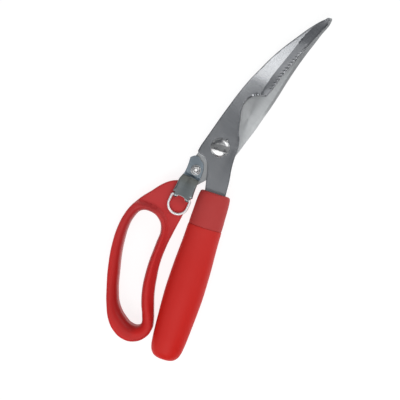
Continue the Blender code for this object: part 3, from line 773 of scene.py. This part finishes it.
def front_tang(clearance=0.0, top=0.0):
    """The tang inside the straight grip, from its right shoulder round to its left."""
    wide = 7.5 + clearance
    narrow = 4.3 + clearance
    end = 72.0 + clearance
    neck = 15.0 + clearance
    return [
        (*along_grip(top, wide), CORNER), (*along_grip(9.0, wide), CORNER),
        (*along_grip(neck, narrow), CORNER), (*along_grip(end - narrow, narrow), CORNER),
        along_grip(end, 0.0),
        (*along_grip(end - narrow, -narrow), CORNER), (*along_grip(neck, -narrow), CORNER),
        (*along_grip(9.0, -wide), CORNER), (*along_grip(top, -wide), CORNER),
    ]


def serrations(spots, edge_line):
    """How deep each spot lies in the scallops across the ground edge, from 0 to 1."""
    inward = across(spots, edge_line) - spots[:, 0]
    level = spots[:, 1] + SERRATION_LEAN * inward
    phase = (level - SERRATION_FIRST_Y) / SERRATION_PITCH
    scallop = np.clip(np.cos(2 * math.pi * phase), 0.0, 1.0)
    span = smooth(level, SERRATION_FIRST_Y - 1.5, SERRATION_FIRST_Y)
    span = span * (1 - smooth(level, SERRATION_LAST_Y - 1.0, SERRATION_LAST_Y + 1.0))
    fade = 1 - smooth(inward, SERRATION_REACH * 0.3, SERRATION_REACH)
    return scallop * fade * span


def serration_grid(edge_line):
    """Points in rows along the ground edge, eight to each serration."""
    levels = np.arange(SERRATION_FIRST_Y - 1.2, SERRATION_LAST_Y + 1.2, SERRATION_PITCH / 8)
    rows = []
    for inward in np.arange(0.3, SERRATION_REACH + 0.9, 0.28):
        row = np.column_stack((levels, levels - SERRATION_LEAN * inward))
        row[:, 0] = across(row, edge_line) - inward
        rows.append(row)
    return np.concatenate(rows)


def make_front_blade(steel):
    outline = FRONT_BLADE + list(reversed(front_tang(top=1.5))) + FRONT_BLADE_CUTTING_SIDE
    loops = [bezier(outline, 0.35), circle((0.0, 0.0), SHANK_HOLE, 64),
             circle(LOCK_PIN_AT, LOCK_PIN_RADIUS + 0.2, 28)]
    start_line = bezier(GRIND_START, 0.6, closed=False)
    edge_line = bezier(CUTTING_EDGE, 0.6, closed=False)
    notch = bezier(BONE_NOTCH, 0.4, closed=False)

    def top(spots, depth):
        share = ground(spots, start_line, edge_line, 1.0)
        face = BLADE_TOP - taper(spots[:, 1])
        land = CUTTING_EDGE_Z + BLADE_EDGE_RADIUS * 0.6
        reach = GRIND_SHARE + (1 - GRIND_SHARE) * smooth(spots[:, 1], *GRIND_FADE)
        face = face - (face - land) * np.minimum(share / reach, 1.0)
        face = face - SERRATION_DEPTH * serrations(spots, edge_line) * (share > 0)
        from_notch = distance(spots, notch, closed=False)
        face = face - np.clip(NOTCH_CHAMFER - from_notch, 0.0, None) * NOTCH_CHAMFER_SLOPE
        radius = BLADE_EDGE_RADIUS * np.where(share > 0.5, 0.6, 1.0)
        return np.maximum(face - rounded(depth, radius), BLADE_BOTTOM + 0.2)

    def bottom(spots, depth):
        return BLADE_BOTTOM + rounded(depth, 0.12)

    levels = np.arange(start_line[0][1], start_line[-1][1], 0.6)
    creases = []
    for share in (0.0, GRIND_SHARE):
        line = np.column_stack((levels, levels))
        line[:, 0] = (1 - share) * across(line, start_line) + share * across(line, edge_line)
        line = line[inside(line, loops[0])]
        creases.append(line[distance(line, loops[0]) > 0.4])
    chamfer = [inset(notch, shift) for shift in (0.5, NOTCH_CHAMFER, 1.0)]
    mesh = slab(loops, top, bottom, BLADE_GRID, BLADE_EDGE_RADIUS,
                extra=[serration_grid(edge_line)] + [line[1:-1] for line in chamfer],
                creases=creases)

    def tone(places):
        # Painted shade in the scallops, on the land, at the bone notch and beside the collar
        below = (GRIP_TOP[1] - places[:, 1]) * math.cos(GRIP_TILT)
        below += (places[:, 0] - GRIP_TOP[0]) * math.sin(GRIP_TILT)
        spots = places[:, :2]
        rim = 0.7 * (1 - smooth(distance(spots, notch, closed=False), 0.4, 1.0))
        ends = np.maximum(rim, 0.6 * smooth(below, -2.4, -1.2))
        inward = across(spots, edge_line) - spots[:, 0]
        land = 0.4 * (1 - smooth(inward, 0.9, 1.5)) * smooth(spots[:, 1], 66.0, 74.0)
        return np.maximum(np.maximum(serrations(spots, edge_line), land), ends)

    mark_painted_shade(mesh, tone)
    finished("front_blade_visual", mesh, "front_half", "front_blade", steel, 17.0)


def make_rear_blade(steel):
    loops = [bezier(REAR_BLADE, 0.6), circle((0.0, 0.0), SHANK_HOLE, 64),
             circle(RIVET_AT, RIVET_HOLE, 48)]
    spine = bezier(REAR_SPINE, 0.6, closed=False)
    start_line = bezier(REAR_GRIND_START, 0.6, closed=False)
    edge_line = bezier(REAR_CUTTING_EDGE, 0.6, closed=False)

    def top(spots, depth):
        from_spine = across(spots, spine) - spots[:, 0]
        active = smooth(spots[:, 1], 6.0, 20.0)
        span = np.maximum(across(spots, spine) - across(spots, edge_line), 3.0)
        share = np.clip((from_spine - SPINE_CHAMFER_WIDTH) / span, 0.0, 1.0)
        hollow = HOLLOW_DEPTH * 4 * share * (1 - share)
        chamfer = SPINE_CHAMFER_DROP * np.clip(1 - from_spine / SPINE_CHAMFER_WIDTH, 0.0, 1.0)
        return -BLADE_BOTTOM - active * (hollow + chamfer) - rounded(depth, 0.15)

    def bottom(spots, depth):
        share = ground(spots, start_line, edge_line, -1.0)
        face = BLADE_TOP - taper(spots[:, 1])
        face = face - (face - CUTTING_EDGE_Z - 0.1) * (1 - (1 - share)**1.5)
        return -(face - rounded(depth, BLADE_EDGE_RADIUS * np.where(share > 0.5, 0.3, 1.0)))

    chamfer_line = inset_line(spine, SPINE_CHAMFER_WIDTH)
    mesh = slab(loops, top, bottom, BLADE_GRID, BLADE_EDGE_RADIUS, creases=[chamfer_line])

    def tone(places):
        # Painted shade away from one lighter streak, which is a painted highlight, and darker on
        # the spine's chamfer and at both ends
        from_spine = across(places, spine) - places[:, 0]
        streak = 1 - np.exp(-((from_spine - HIGHLIGHT_STREAK_AT) / HIGHLIGHT_STREAK_WIDTH)**2)
        band = 1 - smooth(from_spine, SPINE_CHAMFER_WIDTH - 0.6, SPINE_CHAMFER_WIDTH + 0.2)
        rise = smooth(places[:, 1], 24.0, 40.0)
        ends = np.maximum(smooth(places[:, 1], 55.0, 80.0), 1 - smooth(places[:, 1], -9.0, 7.0))
        return 0.5 * np.maximum(np.maximum(0.85 * streak, band * rise), ends)

    mark_painted_shade(mesh, tone)
    finished("rear_blade_visual", mesh, "rear_half", "rear_blade", steel, 17.0)


def mark_painted_shade(mesh, value):
    """Store the painted shade at each vertex, from 0 for none to 1 for darkest."""
    places = np.array([vertex.co[:] for vertex in mesh.vertices])
    tone = mesh.attributes.new("tone", "FLOAT", "POINT")
    tone.data.foreach_set("value", value(places).astype(np.float32))


def inset_line(line, shift):
    """The part of a line between the tip and the pivot, moved towards -X."""
    middle = line[(line[:, 1] > 24.0) & (line[:, 1] < 98.0)]
    return middle - np.array((shift, 0.0))


def washer_mesh(heights, radii, easing):
    """A flat ring between two heights; its radii are the bore's, one between and the rim's."""
    top, bottom = heights
    bore, middle, outer = radii
    profile = [(middle, top), (outer, top), (outer, bottom), (bore, bottom), (bore, top),
               (middle, top)]
    return turned(softened(profile, easing)[:-1], 64, closed=True)


def make_screw(bright):
    crown = HEAD_RIM_TOP + HEAD_DOME
    dome = [(0.0, crown)]
    for index in range(1, DOME_STEPS):
        angle = math.radians(90.0 - 90.0 / DOME_STEPS * index)
        radius = (HEAD_RADIUS - HEAD_EDGE) * math.cos(angle)
        dome.append((radius, HEAD_RIM_TOP + HEAD_DOME * math.sin(angle)))
    profile = dome + [
        (HEAD_RADIUS - 0.25, HEAD_RIM_TOP - 0.1), (HEAD_RADIUS, HEAD_RIM_TOP - 0.4),
        (HEAD_RADIUS, HEAD_UNDER + 0.15), (HEAD_RADIUS - 0.15, HEAD_UNDER),
        (SHANK_RADIUS, HEAD_UNDER), (SHANK_RADIUS, SHANK_END + 0.4),
        (SHANK_RADIUS - 0.4, SHANK_END), (0.0, SHANK_END),
    ]
    slot = block((16.0, SLOT_WIDTH, 2 * SLOT_DEPTH), (0.0, 0.0, crown))
    slot.transform(Matrix.Rotation(SLOT_TURN, 4, "Z"))
    notch = turned([(0.0, crown), (NOTCH_RADIUS, crown), (NOTCH_RADIUS, 2.0), (0.0, 2.0)], 32)
    screw = joined(turned(profile), [slot, moved(notch, *LOCK_PIN_AT)], bevel=0.32)
    slot_floor = crown - SLOT_DEPTH

    # Painted shade on the floor of the slot
    def tone(places):
        low = np.abs(places[:, 2] - slot_floor) < 0.05
        return 0.5 * (low & (np.hypot(places[:, 0], places[:, 1]) < HEAD_RADIUS))

    mark_painted_shade(screw, tone)
    finished("pivot_screw_visual", screw, "front_half", "pivot_screw", bright, 30.0)


def make_pivot(bright):
    make_screw(bright)
    pin = turned(softened([(0.0, 4.55), (LOCK_PIN_RADIUS, 4.55), (LOCK_PIN_RADIUS, 0.45),
                           (0.0, 0.45)], 0.25), 32)
    finished("pivot_lock_pin_visual", moved(pin, *LOCK_PIN_AT), "front_half", "pivot_lock_pin",
             bright)
    washer = washer_mesh(*SPRING_WASHER, 0.12)
    finished("pivot_washer_visual", washer, "front_half", "pivot_spring_washer",
             bright)
    top, bottom = NUT_SPAN
    prism = turned([(0.0, top), (NUT_RADIUS, top), (NUT_RADIUS, bottom), (0.0, bottom)], 6)
    cone = turned([(0.0, -4.1), (6.0, -4.1), (6.0, -6.55), (4.7, -7.2), (0.0, -7.2)], 64)
    bore = turned([(0.0, -4.0), (NUT_BORE, -4.0), (NUT_BORE, -7.5), (0.0, -7.5)], 48)
    nut = joined(joined(prism, [cone], "INTERSECT"), [bore], bevel=0.12)
    finished("pivot_nut_visual", nut, "front_half", "pivot_nut", bright, 20.0)


def sheet_profile():
    """Top and bottom of the bent latch sheet as (y, z) lines, from its nose to its tail."""
    flat = np.array(((-8.0, PLATE_TOP), (JOGGLE_TOP_Y, PLATE_TOP),
                     (JOGGLE_TOP_Y - JOGGLE_RUN, TAIL_TOP), (-46.0, TAIL_TOP)))
    upper = np.array(softened(flat, BEND_RADIUS, 8))
    way = np.gradient(upper, axis=0)
    way = way / norm(way, axis=1)[:, None]
    under = upper + np.column_stack((way[:, 1], -way[:, 0])) * -SHEET
    return upper[::-1], under[::-1]


def make_latch_lever(steel):
    loops = [bezier(LATCH_PLAN, 0.35), circle(RIVET_AT, RIVET_HOLE, 48)]
    upper, under = sheet_profile()
    order = np.argsort(under[:, 0])
    left = bezier(LATCH_PLAN[20:17:-1], 0.5, closed=False)
    right = bezier(LATCH_PLAN[8:11], 0.5, closed=False)

    def side_depth(spots):
        return np.minimum(distance(spots, left, False), distance(spots, right, False))

    def top(spots, depth):
        face = np.interp(spots[:, 1], upper[:, 0], upper[:, 1])
        radius = 0.3 + 0.75 * smooth(-spots[:, 1], 29.0, 33.0) * (side_depth(spots) < 1.3)
        return face - rounded(depth, radius)

    def bottom(spots, depth):
        face = np.interp(spots[:, 1], under[order, 0], under[order, 1])
        flange = (side_depth(spots) < FLANGE_WIDTH) & (spots[:, 1] < FLANGE_TOP_Y)
        flange &= spots[:, 1] > FLANGE_END_Y
        return np.where(flange, FLANGE_BOTTOM_Z, face) + rounded(depth, 0.2)

    bend = grid(loops[0], 0.3)
    bend = bend[(bend[:, 1] < JOGGLE_TOP_Y + 1.5) & (bend[:, 1] > JOGGLE_TOP_Y - JOGGLE_RUN - 1.5)]
    sheet = slab(loops, top, bottom, 0.7, 0.5, extra=[bend])
    knuckles = []
    for start, end in KNUCKLE_SPANS:
        barrel = turned(softened([(0.0, end), (KNUCKLE_RADIUS, end), (KNUCKLE_RADIUS, start),
                                  (0.0, start)], 0.3), 48)
        barrel.transform(Matrix.Rotation(math.radians(90.0), 4, "Y"))
        knuckles.append(moved(barrel, 0.0, KNUCKLE_Y, KNUCKLE_Z))
    sheet = joined(sheet, knuckles, "UNION")
    bore = turned([(0.0, 2.0), (WIRE_BORE, 2.0), (WIRE_BORE, -22.0), (0.0, -22.0)], 32)
    bore.transform(Matrix.Rotation(math.radians(90.0), 4, "Y"))
    sheet = joined(sheet, [moved(bore, 0.0, KNUCKLE_Y, KNUCKLE_Z)])

    def tone(places):
        # Painted shade from the joggle on, a little lighter down the tail
        down = -places[:, 1]
        return smooth(down, 26.0, 26.6) * (0.95 - 0.3 * smooth(down, 27.5, 35.0))

    mark_painted_shade(sheet, tone)
    finished("latch_lever_visual", sheet, "latch", "latch_lever", steel, 35.0)


def make_rivet(bright):
    washer = washer_mesh(*LATCH_WASHER, 0.14)
    finished("latch_washer_visual", moved(washer, *RIVET_AT), "latch", "latch_washer",
             bright)
    rivet = turned(softened(RIVET_PROFILE, 0.22)[:-1], 72, closed=True)
    finished("latch_rivet_visual", moved(rivet, *RIVET_AT), "rear_half", "latch_rivet",
             bright)


def make_latch_ring(chrome):
    """A bent wire: two stubs in the knuckles, two elbows and a long round bow."""
    elbow = RING_ELBOW_RADIUS
    top = KNUCKLE_Y - RING_CENTRE[1]
    half = [(RING_RADIUS - elbow - RING_STUB, top), (RING_RADIUS - elbow - RING_STUB / 2, top),
            (RING_RADIUS - elbow, top)]
    for angle in np.linspace(80.0, 0.0, 9):
        turn = math.radians(angle)
        half.append((RING_RADIUS - elbow + elbow * math.cos(turn),
                     top - elbow + elbow * math.sin(turn)))
    half.append((RING_RADIUS, (top - elbow) / 2))
    for angle in np.linspace(0.0, -90.0, 25):
        turn = math.radians(angle)
        half.append((RING_RADIUS * math.cos(turn), RING_RADIUS * math.sin(turn)))
    route = half + [(-x, y) for x, y in reversed(half[:-1])]
    fall = (KNUCKLE_Z - RING_REST_Z) / (top + RING_RADIUS)
    centres = np.array([(RING_CENTRE[0] + x, RING_CENTRE[1] + y, KNUCKLE_Z - (top - y) * fall)
                        for x, y in route])
    way = np.gradient(centres, axis=0)
    way = way / norm(way, axis=1)[:, None]
    side = np.cross(way, (0.0, 0.0, 1.0))
    side = side / norm(side, axis=1)[:, None]
    rise = np.cross(side, way)
    steps = 28
    angles = np.linspace(0.0, 2 * math.pi, steps, endpoint=False)
    across_wire = np.cos(angles)[None, :, None] * side[:, None]
    up_wire = np.sin(angles)[None, :, None] * rise[:, None]
    rounds = centres[:, None] + WIRE_RADIUS * (across_wire + up_wire)
    count = len(centres)
    faces = []
    for i in range(count - 1):
        for j in range(steps):
            k = (j + 1) % steps
            faces.append((i * steps + j, i * steps + k, (i + 1) * steps + k, (i + 1) * steps + j))
    faces.append(tuple(reversed(range(steps))))
    faces.append(tuple(range((count - 1) * steps, count * steps)))
    mesh = bpy.data.meshes.new("ring")
    mesh.from_pydata(rounds.reshape(-1, 3).tolist(), [], faces)
    bm = bmesh.new()
    bm.from_mesh(mesh)
    bmesh.ops.recalc_face_normals(bm, faces=bm.faces)
    bm.to_mesh(mesh)
    bm.free()
    finished("latch_ring_visual", mesh, "pull_ring", "latch_ring", chrome)


def pocket_block(outline, heights, spacing):
    """A block with straight sides, which cuts a tang's pocket out of a handle."""
    return slab([outline], lambda spots, depth: np.full(len(spots), heights[0]),
                lambda spots, depth: np.full(len(spots), heights[1]), spacing, 0.01)


def make_loop_handle(plastic):
    loops = [bezier(HANDLE_OUTLINE, 0.55), bezier(FINGER_HOLE, 0.55)]
    rim = bezier(RIM_OUTLINE, 0.55)

    def face(spots, web):
        from_rim = distance(spots, rim)
        in_rim = inside(spots, rim)
        from_hole = distance(spots, loops[1])
        from_outline = distance(spots, loops[0])
        outer = np.where(in_rim, np.minimum(from_rim, from_outline), 0.0)
        wider = smooth(-spots[:, 1], *LOW_BOW)
        width = RIM_INNER_WIDTHS[0] + (RIM_INNER_WIDTHS[1] - RIM_INNER_WIDTHS[0]) * wider
        hollow = rounded(from_hole / width, 1.0) * RIM_INNER_DROP
        bar = RIM_TOP - rounded(outer, RIM_OUTER_ROUNDING) - hollow
        share = np.clip(1 - from_rim / FILLET, 0.0, 1.0)
        flank = web + (RIM_TOP - RIM_OUTER_ROUNDING - web) * share**2
        low = np.where(in_rim, web, flank) - rounded(from_outline, WEB_ROUNDING)
        return np.where(in_rim, np.maximum(bar, low), low)

    def top(spots, depth):
        return face(spots, WEB_TOP)

    def bottom(spots, depth):
        return -face(spots, -WEB_BOTTOM)

    seam = [inset(rim, shift) for shift in (-0.9, -0.6, -0.3, 0.0, 0.15, 0.5, 1.1, 1.7)]
    seam += [inset(loops[1], -shift) for shift in (0.25, 0.5, 0.8, 1.2, 1.7, 2.3)]
    free = [line[distance(line, loops[0]) > 0.5] for line in seam]
    mesh = slab(loops, top, bottom, HANDLE_GRID, WEB_ROUNDING, extra=free)
    mesh = joined(mesh, [pocket_block(bezier(TANG_POCKET, 1.0), REAR_POCKET, 4.0)])

    def tone(places):
        # Painted shade round the hole, in a wide band on its left bar and a narrow one on its
        # right
        spots = places[:, :2]
        from_hole = distance(spots, loops[1])
        from_outline = distance(spots, loops[0])
        low = smooth(-spots[:, 1], *LOW_BOW)
        left = (0.42 + 0.2 * low) * (1 - smooth(from_hole, 0.0, 7.0 + 4.0 * low))
        right = 0.4 * (1 - smooth(from_hole, 0.0, 1.6))
        right = np.maximum(right, 0.3 * (1 - smooth(from_outline, 0.0, 4.0)))
        right *= smooth(-spots[:, 1], 58.0, 66.0)
        middle = np.interp(-spots[:, 1], HOLE_MIDDLE[0], HOLE_MIDDLE[1])
        side = smooth(spots[:, 0] - middle, 0.0, 6.0)
        return left * (1 - side) + right * side

    mark_painted_shade(mesh, tone)
    finished("loop_handle_visual", mesh, "rear_half", "loop_handle", plastic, 50.0)


def grip_piece(profile):
    """A turned profile of (radius, distance down the grip), flattened and laid along the grip."""
    mesh = turned([(radius, -along) for radius, along in profile], GRIP_STEPS)
    mesh.transform(Matrix.Diagonal((1.0, GRIP_FLATNESS, 1.0, 1.0)))
    mesh.transform(Matrix.Rotation(math.radians(-90.0), 4, "X"))
    mesh.transform(Matrix.Rotation(GRIP_TILT, 4, "Z"))
    return moved(mesh, *GRIP_TOP)


def make_grip(collar_plastic, plastic):
    collar = [tuple(point) for point in bezier(COLLAR_PROFILE, GRIP_SPACING, closed=False)]
    stem = [(STEM_RADIUS, COLLAR_PROFILE[-1][1]), (STEM_RADIUS, STEM_END - 1.0),
            (STEM_RADIUS - 1.0, STEM_END), (0.0, STEM_END)]
    outline = bezier(front_tang(clearance=TANG_CLEARANCE, top=-3.0), 2.0)
    core = joined(grip_piece(collar + stem), [pocket_block(outline, FRONT_POCKET, 6.0)])
    finished("grip_core_visual", core, "front_half", "grip_core", collar_plastic,
             50.0)
    bore = STEM_RADIUS + 0.3 / GRIP_FLATNESS
    sleeve = [tuple(point) for point in bezier(SLEEVE_PROFILE, GRIP_SPACING, closed=False)]
    cavity = [(0.0, STEM_END + 0.3), (bore, STEM_END + 0.3), (bore, SLEEVE_PROFILE[0][1])]
    finished("grip_sleeve_visual", grip_piece(cavity + sleeve), "front_half", "grip_sleeve",
             plastic, 50.0)


# ---------------------------------------------------------------- studio


def make_floor():
    bm = bmesh.new()
    bmesh.ops.create_grid(bm, x_segments=2, y_segments=2, size=FLOOR_REACH * MM)
    mesh = mesh_of(bm, "floor")
    n = Nodes("floor_paper")
    tone = n.noise(n.coordinates, 4.0, 3.0)
    paper = n.blend(tone, (0.22, 0.22, 0.22, 1.0), (0.25, 0.25, 0.25, 1.0))
    n.surface(Base_Color=paper, Emission_Color=(1.0, 1.0, 1.0, 1.0), Emission_Strength=0.86,
              Roughness=0.9, Specular_IOR_Level=0.1)
    mesh.materials.append(n.material)
    floor = added("floor", mesh)
    floor.location.z = frame_bounds[0].z - FLOOR_GAP * MM


def area_light(name, place, target, size, power):
    """A rectangular light; place, target and size are in millimetres round the pivot."""
    light = bpy.data.lights.new(name, "AREA")
    light.shape = "RECTANGLE"
    light.size = size[0] * MM
    light.size_y = size[1] * MM
    light.energy = power
    obj = added(name, light)
    obj.location = spot(*place)
    way = spot(*target) - obj.location
    obj.rotation_mode = "QUATERNION"
    obj.rotation_quaternion = way.to_track_quat("-Z", "Y")


def make_studio():
    world = bpy.data.worlds.new("studio")
    world.use_nodes = True
    background = world.node_tree.nodes["Background"]
    background.inputs["Color"].default_value = (0.10, 0.105, 0.115, 1.0)
    background.inputs["Strength"].default_value = 1.0
    bpy.context.scene.world = world
    area_light("left_softbox", (-640, -700, 640), (0, -60, 0), (600, 600), 2.2)
    area_light("right_softbox", (950, -230, 600), (0, -20, 0), (400, 500), 0.3)
    area_light("far_softbox", (540, 880, 780), (0, -20, 0), (960, 800), 5.6)
    area_light("overhead_card", (90, -620, 880), (20, -120, 0), (860, 640), 5.4)
    area_light("blade_card", (-10, 214, 900), (5, 60, 0), (260, 60), 0.135)
    area_light("tip_card", (0, 345, 900), (20, 100, 0), (260, 150), 0.05)
    area_light("grind_card", (740, 30, 860), (20, 75, 0), (880, 440), 0.39)
    area_light("root_card", (-20, 150, 900), (0, 40, 0), (200, 70), 0.012)
    area_light("shoulder_card", (10, -70, 900), (10, -20, 0), (300, 120), 0.035)
    view = bpy.context.scene.view_settings
    view.view_transform = "Standard"
    view.look = "None"


def make_camera():
    data = bpy.data.cameras.new("camera")
    camera = added("camera", data)
    back = Vector((math.tan(CAMERA_LEAN[0]), math.tan(CAMERA_LEAN[1]), 1.0)).normalized()
    aim = spot(*CAMERA_AIM)
    reach = CAMERA_HEIGHT * MM / back.z
    right = Vector((math.cos(CAMERA_TURN), math.sin(CAMERA_TURN), 0.0))
    right = (right - back * right.dot(back)).normalized()
    up = back.cross(right)
    turn = Matrix((right, up, back)).transposed()
    camera.matrix_world = Matrix.Translation(aim + back * reach) @ turn.to_4x4()
    data.sensor_width = SENSOR_WIDTH
    data.lens = SENSOR_WIDTH * reach / (PICTURE_WIDTH * MM)
    data.dof.use_dof = False
    data.clip_start = 0.01
    data.clip_end = 20.0
    bpy.context.scene.camera = camera


BLADE_GRAIN = math.radians(-14.0)
front_steel = brushed_steel("front_blade_steel", (0.50, 0.515, 0.535, 1.0),
                            (0.60, 0.61, 0.625, 1.0), 0.2, BLADE_GRAIN)
# The rear blade's steel is the blades' ground steel painted much lighter, standing in for the
# brighter light it catches
rear_steel = brushed_steel("rear_blade_steel", (0.78, 0.80, 0.80, 1.0), (0.87, 0.89, 0.89, 1.0),
                           0.42, BLADE_GRAIN)
# The latch's last colour is the dark olive painted as shade on its tail
latch_steel = brushed_steel("latch_steel", (0.36, 0.43, 0.48, 1.0), (0.42, 0.49, 0.55, 1.0), 0.36,
                            0.0, 0.45, 0.03, (0.17, 0.165, 0.13, 1.0))
pivot_steel = turned_steel("pivot_steel", (0.55, 0.55, 0.55, 1.0), (0.78, 0.78, 0.77, 1.0), 0.32,
                           spot(0.0, 0.0))
rivet_steel = turned_steel("rivet_steel", (0.58, 0.58, 0.58, 1.0), (0.82, 0.82, 0.81, 1.0), 0.3,
                           spot(*RIVET_AT))
ring_chrome = plated("ring_chrome", (0.96, 0.96, 0.96, 1.0), (0.88, 0.89, 0.90, 1.0), 0.40)
grip_red = moulded_plastic("grip_red", (0.68, 0.014, 0.009, 1.0), (0.68, 0.042, 0.036, 1.0), 0.45)
# The collar's red is a paler copy of the grip's plastic, painted paler for the light on the grip's
# upper end
collar_red = moulded_plastic("collar_red", (0.56, 0.030, 0.028, 1.0), (0.56, 0.066, 0.062, 1.0),
                             0.5)
loop_red = moulded_plastic("loop_red", (0.66, 0.016, 0.013, 1.0), (0.60, 0.060, 0.062, 1.0), 0.40)
make_floor()
make_front_blade(front_steel)
make_rear_blade(rear_steel)
make_pivot(pivot_steel)
make_latch_lever(latch_steel)
make_rivet(rivet_steel)
make_latch_ring(ring_chrome)
make_loop_handle(loop_red)
make_grip(collar_red, grip_red)
make_studio()
make_camera()
